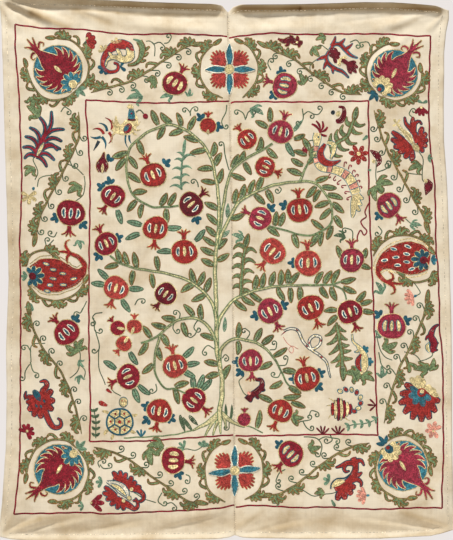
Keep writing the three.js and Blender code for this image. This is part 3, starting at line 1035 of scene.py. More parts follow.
BRANCHES = {
    # places, width at each end, middles of the leaves
    "trunk": (
        ((219.6, 421), (219.8, 410), (221.8, 396), (222, 380), (219.9, 365.7), (217, 351.3),
         (216.5, 327), (216, 300), (215, 270), (216.6, 245), (218.4, 231), (219, 214), (218, 192.4),
         (215, 175), (211.2, 158.9), (203.6, 145.5), (193, 135), (183.5, 129.2), (169.1, 124.4),
         (150, 131), (143.5, 135), (131, 146.5), (127.3, 157), (126.3, 171.4), (129.2, 185.7),
         (134, 196.2), (150, 206.2), (163, 207), (178.7, 205.8)),
        5.0, 1.5,
        ((211.2, 362.8), (212.2, 375.3), (226.6, 372.4), (207.4, 262.3), (208.4, 251.7),
         (209.3, 241.2), (211.2, 231.2), (212.2, 219.2), (211.2, 205.8), (208.4, 181.9),
         (205.5, 169.4), (198.8, 151.3), (191, 138.8), (213.2, 149.4), (217.9, 159.9),
         (220.3, 176), (222.4, 244), (222.4, 257.5), (154.8, 117.7), (165.8, 117.7),
         (179.2, 119.6), (192, 123.4), (161, 133), (176, 133), (120.6, 154.6), (120.6, 164.7),
         (133, 162.8), (140.7, 147.4), (134, 178), (139.7, 192.4), (132, 205.8), (141.2, 210.7),
         (163.3, 200), (171.9, 199), (167, 215.4)),
    ),
    "branch_middle": (
        ((219.4, 231), (224.6, 197.2), (230.9, 172.3), (245.7, 158.9), (262.9, 149.4),
         (272.5, 143.6)), 3.4, 1.8,
        ((235.2, 160.8), (240.9, 157), (259, 144.6), (238, 177), (247.6, 168.5), (272, 153.2)),
    ),
    "branch_right_arch": (
        ((217.5, 246), (220.9, 236), (231.3, 214.4), (240, 201), (255.3, 192.4), (274.4, 184.8),
         (300, 181.5), (314.6, 182.8), (324.4, 192.6), (330.2, 202.3), (332.2, 218.9),
         (325.4, 228.7), (309.8, 235.5), (297, 234)), 3.6, 1.4,
        ((235.6, 197.2), (242.3, 192.4), (251.4, 187.6), (260, 183.8), (322.4, 178.9),
         (329.3, 187.7), (335, 196.5), (338, 208.2), (338, 220.9), (237, 216.3), (259, 199),
         (269.6, 196.2), (311, 191.6), (317, 195.5), (322, 204.5), (325.4, 214), (317.6, 224.8),
         (329.3, 232.6), (314.6, 240.4), (321.5, 238.4)),
    ),
    "branch_left_lower": (
        ((216.6, 322), (214.1, 308.3), (207.4, 295.8), (195, 284.4), (181.6, 277.7),
         (164.4, 272.9), (150, 270.5), (135, 268), (120, 263), (110, 256)), 3.6, 1.6,
        ((193, 275.7), (201.2, 278.6), (207.9, 285.3), (119.1, 256.5), (126.3, 258.4),
         (135.4, 260.4), (187.8, 288.2), (198.8, 297.8), (112, 266)),
    ),
    "branch_left_low": (
        ((217, 348), (214, 336), (208.3, 326.4), (199.8, 319.8), (188.3, 317.8), (174.9, 321.7),
         (164.4, 330.3), (154.8, 337.9), (141, 343)), 3.6, 1.6,
        ((168.2, 318.3), (158.6, 325.5), (189.2, 311), (201.2, 312), (184.9, 329.3),
         (207.4, 337), (142.6, 348.5), (147.4, 332.2)),
    ),
    "branch_left_loop": (
        ((160.5, 334), (155.7, 351.3), (154.3, 365.7), (157.7, 379), (166.3, 388.7),
         (174.9, 388.7), (185.4, 393.4)), 2.6, 1.2,
        ((165.3, 340), (159.6, 354.2), (181.6, 384.8), (176.3, 396.3), (147.4, 368.6)),
    ),
    "branch_right_lower": (
        ((217, 330), (219.9, 317.8), (226.6, 308.3), (233.3, 300.6), (245.7, 293.9),
         (264.8, 288.2), (284, 285.8), (309.8, 285.1), (329.3, 284.6), (344.9, 280.7)), 3.6, 1.4,
        ((255.3, 282.4), (262.9, 280.5), (272.5, 279), (280.6, 277.7), (287.8, 276.7),
         (294.5, 278.6), (319, 277.8), (327.8, 277.8), (335.6, 277), (351.2, 279.8), (240, 305.4),
         (248.6, 300.7), (256.2, 297.4), (281.1, 294), (290.7, 294.9), (300, 294),
         (324.4, 292.4), (333.7, 293.4)),
    ),
    "branch_right_fork": (
        ((333, 285), (341, 288.5), (344.4, 293), (346.4, 299.3)), 1.6, 1.2, ((349.3, 290),),
    ),
    "branch_right_low": (
        ((219.4, 362), (220.4, 351.3), (226.6, 342.7), (234.2, 338.9), (245.7, 339.9),
         (258.1, 343.7), (267.7, 350.4), (276.3, 361.9), (282, 373.3), (286.8, 382.9),
         (294, 391)), 3.6, 1.2,
        ((238.5, 330.3), (237.6, 347.6), (258.1, 335), (267.7, 339.9), (280.1, 352.3),
         (288.8, 371.5), (266.2, 365.7), (276.3, 384.8), (295.5, 390.5)),
    ),
    "branch_cluster": (
        ((269, 226.4), (277, 228), (286, 230.6), (297, 234)), 1.6, 1.4,
        ((275.4, 219), (281.6, 219.6), (273.4, 231.7), (295.5, 241)),
    ),
    "branch_fern": (
        ((300, 182), (303.5, 172), (308, 163), (311.6, 153)), 2.4, 1.2,
        ((294.5, 172), (297.5, 162), (300.6, 152.5), (306.5, 144.5), (313, 158), (314.4, 149)),
    ),
}
LOOSE_LEAVES = (
    # middle, way it points, length
    (261.5, 124.4, 210, 13), (270, 114.8, 268, 13.5),
    (331, 310.5, 175, 12), (361, 296.6, 310, 13), (366, 302.5, 345, 11), (368, 311.6, 5, 12),
    (332.4, 320.4, 135, 13), (299, 137, 340, 11), (258.6, 419.4, 280, 17),
    (354.6, 375.4, 245, 14), (339.4, 252.6, 250, 13), (364.6, 253.6, 290, 10),
    (365.4, 266.5, 20, 10), (265, 398.6, 208, 15), (292, 397, 352, 17), (298, 404.4, 22, 14),
    (295, 420, 68, 12), (157.4, 263, 82, 14), (132.4, 277.6, 96, 14), (152.6, 280.6, 84, 14),
)
ROOTS = (
    # from, to, bend, width
    (219 + 414j, 205 + 436j, 0.03, 2.6), (219.5 + 416j, 213 + 434.5j, 0.0, 2.4),
    (220 + 416j, 220.5 + 433.5j, 0.0, 2.2), (221 + 414j, 226 + 428j, -0.1, 2.2),
    (220 + 412j, 193 + 430j, -0.06, 4.0), (220.5 + 412j, 244 + 426.6j, 0.08, 3.6),
)
ROOT_LINES = (
    ((205, 424.6), (193, 429.9), (173.9, 434.7), (150, 436.6), (124, 438)),
    ((236, 424), (250.5, 427), (262.9, 432.7)),
)
STEM_RIM = {"rows": 1.4, "inside": 0.32, "wide": 1.0}
# A leaf of the tree, and how much its length, width and bend vary from leaf to leaf.
TREE_LEAF = {"long": 14, "wide": 5.0, "vary": (0.05, 0.06, 0.08)}


def stem(rows, line, full):
    """A branch: a pale core between two green rows."""
    side = across(line)
    core = np.maximum(full - STEM_RIM["rows"], 0.4)
    count = max(1, round((full[0] - STEM_RIM["rows"]) / PITCH))
    for k in range(count):
        row(rows, line + side * core * ((k + 0.5) / count - 0.5), core / count * 1.15, "stalk", 2)
    for hand in (1, -1):
        row(rows, line + hand * side * (full / 2 - STEM_RIM["inside"]), STEM_RIM["wide"], "leaf", 3)


def leaves_beside(rows, line, middles):
    """Leaves that spring from a branch, each through its own middle."""
    for pair in middles:
        middle = complex(*pair)
        place, way = place_on(line, nearest_share(line, middle))
        off = middle - place
        lean = math.asin(min(1, max(0.42, (abs(off) - 1.4) / (TREE_LEAF["long"] / 2))))
        out = off / max(abs(off), 1e-6)
        point = way * math.cos(lean) + out * math.sin(lean)
        longer, wider, bend = (chance.normal(0, vary) for vary in TREE_LEAF["vary"])
        long, wide = TREE_LEAF["long"] * (1 + longer), TREE_LEAF["wide"] * (1 + wider)
        leaf(rows, middle - point * long / 2, degrees_of(point), long, wide, bend)


def tree():
    for name, (pairs, near, far, middles) in BRANCHES.items():
        rows = new_piece(name)
        line = curve(chart(pairs), 2.4)
        share = lengths_of(line) / lengths_of(line)[-1]
        full = np.maximum(near + (far - near) * share ** 0.8, 1.1)
        leaves_beside(rows, line, middles)
        stem(rows, line, full)
    rows = new_piece("loose_leaves")
    for values in LOOSE_LEAVES:
        leaf_about(rows, *values, 4.6, 0.05)
    rows = new_piece("roots")
    for root, tip, bend, width in ROOTS:
        blade(rows, root, tip, bend, width, "stalk", TAIL, "leaf", 1)
    for pairs in ROOT_LINES:
        row(rows, curve(chart(pairs), 2.0), 1.3, "leaf", 1)
    for x, y, degrees in ((225.6, 411.7, 272), (231.3, 412.7, 274)):
        leaf_about(rows, x, y, degrees, 16, 3.0, 0.03, "moss", None)


def fern(rows, spine, pairs, wide, thread, edge, top):
    """A spine with curved blades in pairs. Each is an outer tip and the share it springs from."""
    line = curve(chart(spine), 2.0)
    for x, y, share, bend in pairs:
        root, _ = place_on(line, share)
        blade(rows, root, complex(x, y), bend, wide, thread, TAIL, edge, 0)
    stroke(rows, line, wide * 0.6, thread, ((0, 1), (0.8, 0.9), (1, 0.5)), edge, 2)
    if top:
        place, way = place_on(line, 1)
        leaf(rows, place - way, degrees_of(way), top, wide * 1.1, 0, thread, edge)


def ferns():
    fern(new_piece("fern_left"), ((181.6, 189.5), (181, 178), (181.8, 166), (183.4, 154)),
         ((169.8, 187.4, 0.05, 0.22), (189.6, 183.6, 0.1, -0.25), (171.4, 179.2, 0.3, 0.2),
          (189.6, 176, 0.35, -0.25), (172.4, 169.4, 0.55, 0.2), (192, 169, 0.6, -0.25),
          (174, 160, 0.8, 0.2), (195.4, 157, 0.85, -0.28), (176.6, 152.4, 0.95, 0.15)),
         3.2, "mint", None, 17)
    fern(new_piece("fern_middle"), ((241, 296), (241.4, 282), (242.6, 266), (243.6, 256), (245.4, 247)),
         ((233.6, 249, 0.98, 0.3), (232.6, 258.6, 0.8, 0.3), (232.4, 268.6, 0.58, 0.28),
          (232.6, 278.6, 0.38, 0.26), (232.8, 288.4, 0.18, 0.24), (256.4, 252.4, 0.88, -0.3),
          (255, 262.6, 0.66, -0.28), (253.6, 272.6, 0.44, -0.26), (252, 282.4, 0.24, -0.24),
          (250, 291.4, 0.08, -0.22)), 4.2, "leaf", "bark", 14)
    fern(new_piece("fern_tree"), ((342.6, 366), (341.8, 354), (339.8, 342), (337.4, 328), (336.6, 323)),
         ((325.4, 336, 0.93, -0.1), (327, 344.4, 0.72, -0.1), (329.2, 354.4, 0.5, -0.08),
          (331, 362.8, 0.28, -0.08), (336.2, 366.6, 0.1, 0), (345.6, 331.2, 0.93, 0.12),
          (347.4, 339.4, 0.74, 0.12), (349, 345, 0.5, 0.1), (350.6, 350.6, 0.36, 0.08),
          (352.4, 358.4, 0.18, 0.08)), 4.4, "leaf", "bark", 0)
    leaf(pieces["fern_tree"], 342.8 + 364j, 88, 16, 5.4)
    fern(new_piece("fern_right"), ((330.4, 149.4), (337, 142.6), (346.4, 136.6), (351.6, 126), (353.8, 119)),
         ((364.8, 124.4, 0.96, 0.25), (362, 133, 0.78, 0.25), (357, 143.4, 0.5, 0.25),
          (348.8, 149.6, 0.26, 0.25), (342, 156, 0.06, 0.3), (346.4, 117.2, 0.84, -0.28),
          (343, 124.8, 0.52, -0.28), (338, 130, 0.28, -0.18), (331.6, 133.6, 0.06, -0.1)),
         4.2, "leaf", "bark", 13)


# Flowers, loose leaves and tendrils

BLOOMS = (
    # root, way, spread, petals, length, width, thread, edge
    (87, 41.4, 345, 116, 4, 9, 4.4, "brick", "wine"), (83, 44, 330, 0, 1, 5, 3, "moss", None),
    (104, 50.5, 232, 120, 3, 6, 3.2, "sand", None),
    (116, 43.5, 270, 120, 3, 6, 3.2, "sand", None),
    (104, 68.4, 130, 130, 3, 6.5, 4.2, "teal", None), (120.6, 66.6, 350, 100, 2, 6.5, 3.6, "teal", None),
    (29, 196, 90, 230, 5, 8.5, 4.2, "sand", None), (33.5, 190.4, 270, 0, 1, 3.2, 3.4, "sky", None),
    (26.4, 432, 310, 215, 6, 8.4, 4.2, "crimson", None),
    (91, 502.4, 0, 70, 3, 13, 5, "crimson", None), (102.4, 481.6, 180, 110, 3, 6.5, 3.4, "mint", None),
    (421.4, 106.4, 90, 84, 4, 9.6, 3.6, "crimson", None),
    (422.4, 103, 270, 130, 2, 5.5, 3.2, "mint", None),
    (358.5, 154.5, 90, 300, 7, 9.4, 4.8, "brick", None),
    (413.4, 296.4, 160, 130, 5, 9.4, 3.6, "pink", None), (413.4, 296.4, 340, 0, 1, 3.4, 3, "sky", None),
    (433.6, 430, 200, 270, 6, 8, 4.4, "pink", None),
    (365.6, 494.8, 175, 130, 5, 9.6, 3.6, "pink", None), (365.6, 494.8, 0, 0, 1, 3.4, 3, "sky", None),
    (141, 437, 270, 70, 3, 8, 2.2, "sky", None), (323, 435, 270, 84, 4, 9.5, 1.9, "wine", None),
    (338, 435, 270, 84, 4, 9.5, 1.9, "wine", None), (376, 405, 180, 84, 3, 8.5, 2, "wine", None),
    (133, 39, 20, 30, 1, 10, 3.4, "mint", None), (155.3, 88, 250, 60, 1, 12, 5.5, "leaf", "bark"),
    (84, 505.5, 180, 100, 3, 6, 2.6, "mint", None),
    (427.8, 158.4, 0, 110, 3, 5, 2.8, "mint", None), (362.4, 140, 320, 0, 1, 7, 3.4, "mint", None),
    (368.3, 170, 0, 0, 1, 3, 3, "mint", None), (409, 363, 60, 60, 2, 9, 3.4, "leaf", "bark"),
    (27, 276, 180, 90, 3, 6, 3, "mint", None), (431, 260, 0, 100, 3, 6, 3.6, "sky", None),
    (184, 447.4, 200, 150, 4, 7, 3, "mint", None), (203, 447, 280, 100, 3, 6.5, 4, "mint", None),
    (329, 480, 200, 120, 3, 6.5, 3.6, "mint", None), (331, 499, 60, 60, 1, 8, 3.2, "mint", None),
    (111.5, 392.5, 215, 60, 1, 6, 3.4, "brick", None), (107.5, 405.5, 200, 0, 1, 9, 5, "brick", None),
)
BLOOM_HEARTS = (
    # middle, width
    (86.8, 38.5, 2.6), (358.5, 153.5, 4.2), (27, 431, 2.6), (421.4, 107.4, 2.6), (91.6, 502, 2.6),
    (433.6, 431, 2.6),
)
LOBED_LEAVES = (
    # root, way, size, hand, thread
    (39, 117.5, 232, 17, 1, "leaf"), (31, 97, 80, 13, -1, "leaf"), (35, 168, 150, 13, 1, "leaf"),
    (82, 187, 165, 16, 1, "leaf"), (77, 240, 60, 11, -1, "mint"), (143, 97, 182, 17, 1, "mint"),
    (157, 84, 210, 12, 1, "leaf"), (173, 96, 180, 13, 1, "mint"), (187, 96.5, 300, 9, 1, "mint"),
    (79.6, 351, 278, 13, -1, "leaf"), (78.6, 351, 196, 15, -1, "leaf"), (79, 360, 60, 9, 1, "mint"),
    (81, 375, 110, 10, 1, "mint"), (34, 309.4, 200, 10, 1, "mint"), (326, 38, 180, 10, 1, "leaf"),
    (313.6, 46, 70, 12, 1, "leaf"), (303, 85, 260, 12, 1, "leaf"), (422, 166.6, 175, 14, 1, "leaf"),
    (376, 184.6, 350, 17, -1, "leaf"), (376, 186, 100, 15, 1, "leaf"),
    (410, 226, 350, 12, -1, "mint"), (382, 294, 250, 14, 1, "mint"),
    (382.4, 347.4, 350, 16, 1, "leaf"), (380.6, 338, 240, 10, 1, "mint"),
    (381, 378, 280, 12, 1, "mint"), (428, 371, 195, 15, 1, "leaf"),
    (429, 370.6, 300, 13, 1, "leaf"), (361, 376.6, 200, 17, 1, "leaf"),
    (361, 376.6, 10, 14, -1, "leaf"), (164, 447, 190, 17, 1, "leaf"), (151, 448, 95, 17, 1, "leaf"),
    (308, 446.6, 10, 13, 1, "leaf"), (324, 493, 190, 10, 1, "leaf"), (280, 503, 190, 8, 1, "mint"),
    (345.4, 238, 200, 12, 1, "moss"), (250, 109, 15, 15, -1, "mint"),
    (243, 240, 215, 13, 1, "mint"), (292, 416, 15, 12, 1, "leaf"),
)
TENDRILS = (
    # places, and the hand its coil winds to
    (((190.2, 116), (190, 112.6), (187, 108.6)), -1), (((190.2, 113), (191.4, 109.6), (194, 107.4)), 1),
    (((226.6, 104.8), (226.2, 112), (221.6, 121), (223.4, 127)), -1),
    (((245.4, 120), (243, 113.4), (238.4, 110)), -1),
    (((245.7, 118.7), (248, 112.6), (252, 110)), 1),
    (((229.4, 170.4), (226, 160), (224.6, 150), (223.6, 144)), -1),
    (((198.4, 187), (197.6, 183), (195.6, 180)), -1), (((302.5, 108.5), (303, 118), (301, 124)), 1),
    (((303, 115), (308, 111.6), (313, 114)), 1), (((312, 114), (318, 114.4), (321.6, 110)), -1),
    (((102.6, 312.4), (96, 313.6), (92.4, 318), (95, 322)), 1),
    (((93.4, 318), (95, 330), (98.6, 333)), -1), (((95.6, 330), (99.4, 347), (97, 352)), 1),
    (((99.4, 346), (98.6, 365.7), (105.3, 384.8)), 0), (((135, 305), (138, 299.6), (142, 298.6)), 1),
    (((245.7, 246), (246, 241), (243, 236)), -1), (((352.7, 240), (352, 231), (346, 228)), -1),
    (((297.6, 423), (303, 421), (309.6, 420)), -1), (((303, 421), (306, 427), (310, 430)), -1),
    (((309, 416), (311, 411), (317, 412)), 1), (((278.7, 186.6), (281.6, 189), (280, 192)), 1),
    (((179.6, 318.6), (180, 313.6), (177.4, 311)), -1), (((174.4, 322.6), (173, 328), (175, 332)), -1),
    (((198, 320), (194, 327), (196, 331)), -1), (((197, 330), (195, 334), (192, 337)), 1),
    (((216, 350), (208, 345.4), (203, 351)), -1), (((155.6, 384), (157, 390), (154, 393)), 1),
    (((222, 358), (225, 354.4), (228, 357)), 1), (((246.6, 339), (249.6, 333), (246, 329)), -1),
    (((270, 350), (275.6, 349), (276.6, 344)), -1), (((279.4, 366), (286, 364.6), (288, 359)), -1),
    (((281, 372), (278, 377), (273.6, 377)), 1), (((53.6, 240), (47, 246), (45, 241)), 1),
    (((57, 232), (54, 237), (50, 236)), 1), (((45, 343), (33, 344.6), (30.6, 352), (31, 362)), 0),
    (((31, 352), (28, 346), (25, 345)), -1), (((30.4, 362), (33.4, 371), (37.6, 373)), 1),
    (((30, 364), (25, 372), (25, 378)), 1), (((154.3, 45), (150, 41), (146, 41)), 0),
    (((150, 41), (154.4, 45), (154.6, 56)), 0), (((154, 44), (160, 42), (164, 46)), 1),
    (((164, 43), (168, 42.6), (171, 38)), -1), (((350, 42), (356, 40), (360, 44)), 1),
    (((371, 50), (368, 42), (362, 42)), -1), (((270.6, 70), (268, 64), (269, 60)), 1),
    (((100, 467), (98, 462), (102, 459)), 1), (((100, 464), (104, 468), (110, 468)), -1),
    (((162, 492), (158, 500), (163, 505)), -1), (((166, 504), (172, 502), (176, 506)), 1),
    (((330, 434.6), (332, 440), (328, 443)), 1), (((318, 440), (326, 437), (338, 439)), 1),
    (((285, 469), (279, 473), (276, 479)), -1), (((412.7, 118), (409, 114), (411, 110)), 1),
    (((378, 226), (382, 231), (380, 235)), 1), (((430, 348), (432, 356), (418, 362)), 0),
    (((404, 352), (413, 354), (420, 360), (424, 370), (420, 376)), 0),
    (((35, 180), (38, 172), (33, 160), (36, 156)), 0), (((39, 117), (34, 108), (29, 104)), 0),
    (((37, 187), (40, 178), (52, 175), (62, 171)), 0), (((61, 112), (65, 107), (70, 110)), 1),
    (((83.4, 175), (76, 168), (66, 163)), 0), (((84, 176), (85, 186), (83, 195), (76, 201)), 0),
    (((73.7, 343), (79.4, 352), (80, 362), (77, 372), (70, 378)), 0),
    (((79, 364), (85, 370), (84, 378)), 0), (((86.6, 301), (84, 307), (81, 312)), 0),
    (((83, 308), (80, 313), (77, 312)), -1), (((376, 330), (378, 343), (384, 356), (392, 360)), 0),
    (((379, 352), (381, 364), (386, 369)), -1), (((376, 160), (376, 175), (377, 190)), 0),
    (((377, 172), (384, 170), (390, 165)), -1), (((419, 152), (423, 160), (422, 178), (424, 182)), 0),
    (((404, 172), (414, 174), (422, 175)), 0), (((405, 218), (412, 224), (418, 228)), 0),
    (((414, 282), (418, 288), (420, 293), (415, 296)), 0),
    (((236, 424), (230, 422), (229, 428)), 1), (((150, 441), (155, 448), (162, 450)), 0),
    (((166, 448), (176, 452), (186, 449), (196, 450), (204, 446)), 0),
    (((134, 492), (146, 499), (156, 502)), 0), (((186, 474), (190, 476), (190, 481)), 1),
    (((304, 437), (316, 438), (322, 446), (320, 455)), 1), (((300, 488), (312, 495), (322, 494)), 0),
    (((322, 494), (334, 492), (340, 489)), 0), (((316, 60), (310, 66), (312, 76)), 0),
    (((314, 52), (320, 45), (331, 52)), 0), (((248, 396), (243, 392), (239, 382), (244, 376)), 0),
)


def small_flowers():
    rows = new_piece("small_flowers")
    for x, y, way, spread, count, long, wide, thread, edge in BLOOMS:
        fan(rows, complex(x, y), way, spread, (long,) * count, wide, thread, PETAL, edge, 1)
    for x, y, wide in BLOOM_HEARTS:
        disc(rows, complex(x, y), np.full(8, wide / 2), "straw", None, 3)
    rows = new_piece("lobed_leaves")
    for x, y, way, size, hand, thread in LOBED_LEAVES:
        lobed_leaf(rows, complex(x, y), way, size, hand, thread, "bark" if thread == "leaf" else None)
    rows = new_piece("tendrils")
    for pairs, hand in TENDRILS:
        if hand:
            tendril(rows, pairs, hand)
        else:
            row(rows, curve(chart(pairs), 1.6), 1.0, "moss")


# Large flowers and scrolls

def flame_flower():
    """Tall red tongues outlined in teal, round a straw seed."""
    rows = new_piece("flame_flower")
    for root, tip, bend, width in (
        (39 + 152j, 60.6 + 149j, -0.2, 4.4), (41 + 147j, 57.6 + 150j, -0.24, 4.2),
        (38 + 155j, 54 + 160j, -0.22, 4.6), (37 + 156j, 46.4 + 166.6j, -0.12, 5),
        (43 + 143j, 61.4 + 141j, -0.2, 4.4), (44 + 138j, 64 + 129.6j, -0.16, 4.8),
        (45 + 136j, 51.6 + 111.6j, 0.1, 4.6), (43 + 138j, 39.6 + 117j, 0.18, 5),
        (40 + 143j, 30 + 128j, 0.2, 4.8), (38 + 148j, 25.4 + 136.4j, 0.18, 4.6),
        (36 + 153j, 23.4 + 147j, 0.18, 4.6), (36 + 155.6j, 24.4 + 158.4j, 0.22, 4.4),
    ):
        stroke(rows, bow(root, tip, bend), width * 0.5, "crimson",
               ((0, 1), (0.5, 0.8), (0.85, 0.45), (1, 0.1)), "teal", 0, step=1.5, rim=1.8)
    stroke(rows, chart(((36.6, 157), (38.6, 150), (41.6, 144), (44.6, 134))), 8, "crimson",
           ((0, 0.5), (0.3, 1), (0.6, 0.8), (1, 0.3)), None, 1)
    stroke(rows, chart(((37.4, 155.5), (40.4, 148.6), (43.8, 142.4))), 3.2, "straw", SPIRE, "teal", 2)


def crested_drop():
    """A crested drop, red outside and straw inside, with a curling tail and a leaf beside it."""
    rows = new_piece("crested_drop")
    for pairs, wide, layer in (
        (((140, 48), (144.6, 50), (149, 47)), 3.4, 0), (((141, 54), (145, 55.4), (148, 53)), 3, 0),
        (((138.6, 58.6), (142, 61.4), (145.6, 60.4)), 2.8, 0),
        (((139, 41), (142.4, 48), (141, 57), (136, 63), (128.6, 65.4)), 5, 2),
    ):
        stroke(rows, chart(pairs), wide, "leaf", TAIL, "bark", layer, step=1.4, rim=1.3)
    outer = ((133, 53), (128, 46), (120, 44.4), (112, 47.6), (106.4, 53.6), (103, 61), (103.4, 68),
             (109, 72), (115, 71.6), (118.4, 68.4), (117.4, 64), (114, 63))
    stroke(rows, chart(outer), 9.6, "brick",
           ((0, 0.35), (0.1, 0.8), (0.3, 1), (0.42, 0.7), (0.58, 0.34), (1, 0.2)), "teal", 0)
    stroke(rows, chart(((132, 51), (131, 57), (124, 59.6), (115, 57.4), (107.6, 60.4), (105.6, 66))),
           7, "straw", ((0, 0.5), (0.25, 1), (0.5, 0.8), (0.75, 0.3), (1, 0.1)), "teal", 2)
    for root, tip, wide in ((128 + 56j, 127 + 48j, 3.4), (120 + 57j, 117 + 49j, 3.4),
                            (112 + 58j, 108.6 + 52.6j, 2.8)):
        blade(rows, root, tip, 0.1, wide, "straw", LOBE, "teal", 2)


def cut_petals(rows, root, tips, edge, thread="brick", layer=0):
    """Petals from one root. Each tip is a place and how wide its petal is."""
    for x, y, wide in tips:
        stroke(rows, bow(root, complex(x, y), 0), wide * (0.8 if edge else 1), thread, PETAL, edge,
               layer, step=1.4, rim=1.4)


def lotus_left():
    rows = new_piece("lotus_left")
    cut_petals(rows, 40 + 402j, (
        (27, 402, 6), (27.4, 396, 5), (28.4, 410, 7), (33.4, 415.8, 7), (40.6, 418, 7),
        (53, 409.4, 7), (54.4, 400.4, 7), (52, 390.6, 7), (45, 387, 7)), "deep")
    disc(rows, 40 + 402.4j, np.full(14, 11), "brick", None, 1)
    bands(rows, "brick", "deep", (
        (((45, 411), (48.4, 420), (54, 427), (60.4, 426.4), (61, 421), (58, 418.6)), 5.4),
        (((45, 389), (47, 385), (44.4, 381), (40, 381.6)), 4.4),
        (((26.6, 399), (25.2, 395), (26, 391.4)), 2.4),
    ))
    stroke(rows, chart(((33.6, 390.4), (37, 395), (39.6, 400.4))), 7, "teal", LEAF, None, 3)
    for x, y in ((44, 401), (41, 406.4), (36.6, 405.6)):
        stroke(rows, chart(((x - 1, y - 1.6), (x + 1, y + 1.6))), 2.2, "teal", SEED, None, 3)


def lotus_bottom_left():
    rows = new_piece("lotus_bottom_left")
    bands(rows, "brick", "teal", (
        (((114, 476), (120, 478.4), (126.6, 482.4), (132, 487), (138, 489.6), (143, 493.6),
          (143.4, 499), (138.6, 501), (136, 498)), 7.4),
        (((108, 491), (112, 496.4), (118, 500.4), (124, 502.4), (129.6, 505.6), (134.6, 508.4),
          (138, 505), (137, 500.6), (133.6, 500.4)), 7.4),
    ), profile=HOOK)
    for root, tips in (
        (123 + 483j, ((113, 471.8, 5), (120, 470.6, 5), (126.4, 473, 5))),
        (129 + 487j, ((132, 476.4, 5), (136.4, 481.4, 5), (141, 486.6, 5))),
        (117 + 495j, ((105.4, 486.4, 5), (103.4, 492.6, 5), (106.4, 499, 5))),
        (121 + 497j, ((111, 504.6, 5), (117, 508.4, 5), (124, 509.6, 5))),
    ):
        cut_petals(rows, root, tips, "teal")
    stroke(rows, chart(((107, 481), (114, 483.4), (121, 487.6), (126, 492.6), (128, 496.4))), 9.6, "ivory",
           ((0, 0.05), (0.35, 0.7), (0.6, 1), (0.85, 0.7), (1, 0.2)), "teal", 3, rim=1.3)
    stroke(rows, chart(((112, 483.8), (119, 487.6), (126.6, 494.6))), 3.4, "straw", LEAF, "teal", 5,
           rim=1.1)
    stroke(rows, chart(((128, 495.6), (131, 499))), 3.6, "straw", SEED, "teal", 4)
    for x, y in ((131.6, 488.6), (123.8, 500)):
        disc(rows, complex(x, y), np.full(7, 1.9), "straw", None, 5)


def lotus_top_right():
    rows = new_piece("lotus_top_right")
    for spine, petals in (
        (((329.6, 50), (334, 44.6), (340, 44.8), (345.4, 49.6), (350, 55), (357, 57.6)),
         ((331.6, 46, 335.6, 36.6), (338.4, 45, 344.6, 38.8), (344.6, 49.6, 352.6, 43.6))),
        (((328.6, 51), (326.4, 58), (329.4, 65), (336, 69), (342.6, 71.4), (348.2, 77.4)),
         ((326.8, 56.6, 317, 60.2), (327.6, 62, 323.4, 68.8), (333, 67.4, 333.2, 73.6))),
    ):
        stroke(rows, chart(spine), 2.8, "brick", ((0, 0.5), (0.4, 1), (0.75, 0.8), (1, 0.1)), "sky", 0,
               rim=1.4)
        for x0, y0, x1, y1 in petals:
            blade(rows, complex(x0, y0), complex(x1, y1), 0.06, 3.2, "brick", TAIL, "sky", 0)
    stroke(rows, chart(((329.4, 50), (333, 52.6), (336.4, 56.4))), 11, "wine",
           ((0, 0.4), (0.4, 1), (1, 0.7)), None, 2)
    cut_petals(rows, 334 + 54j, ((340.6, 53.4, 4), (339.4, 58.4, 3.6), (335.6, 63, 4)), None, "wine", 2)
    cut_petals(rows, 339 + 59j, ((346.4, 57, 3.4), (344.4, 62.6, 4), (339, 65.4, 3.4)), None, "straw", 3)
    stroke(rows, chart(((341.4, 60), (345.6, 62.4), (350, 65.6))), 4, "wine", EVEN, None, 4)
    cut_petals(rows, 347 + 63.4j, ((355.4, 62, 4.4), (357.6, 67, 4.4), (356, 72, 4.4), (350.6, 73.4, 4.4)),
               None, "wine", 4)


def lotus_right():
    rows = new_piece("lotus_right")
    cut_petals(rows, 412 + 147j, (
        (392.6, 132, 6), (391.4, 139.6, 6), (394, 146.6, 6), (398.6, 152.6, 6), (404.6, 157.6, 6),
        (412, 160.4, 6)), "deep")
    disc(rows, 403 + 145j, oval(8.6, 5.4), "brick", None, 1, 52)
    cut_petals(rows, 418 + 142j, (
        (422.4, 127.6, 5.6), (426.4, 133.4, 5.6), (427.4, 140, 5.6), (426.4, 146.4, 5.4),
        (423, 152, 5)), "deep")
    bands(rows, "brick", "deep", (
        (((416, 143), (415, 135), (411, 129), (406, 123.4), (404.4, 117.4)), 5.4),))
    blade(rows, 413 + 133j, 412.6 + 117.6j, 0, 5, "brick", LOBE, "deep", 0)
    bands(rows, "brick", "deep", ((((414, 131), (415, 124), (419, 121.4), (421.6, 124.4)), 3.6),))
    stroke(rows, chart(((398.6, 126.4), (403, 131), (408, 136.4), (413.6, 144.6))), 6, "straw",
           ((0, 0.3), (0.3, 0.7), (0.6, 1), (1, 0.3)), "ivory", 3)
    cut_petals(rows, 396.4 + 124j, ((393.6, 119, 2.6), (400, 119.6, 2.6), (392.4, 126, 2.6),
                                    (400.6, 127, 3.4)), None, "straw")
    stroke(rows, chart(((413.4, 144.4), (416, 147.4), (418, 151))), 6, "sand", SEED, None, 4)


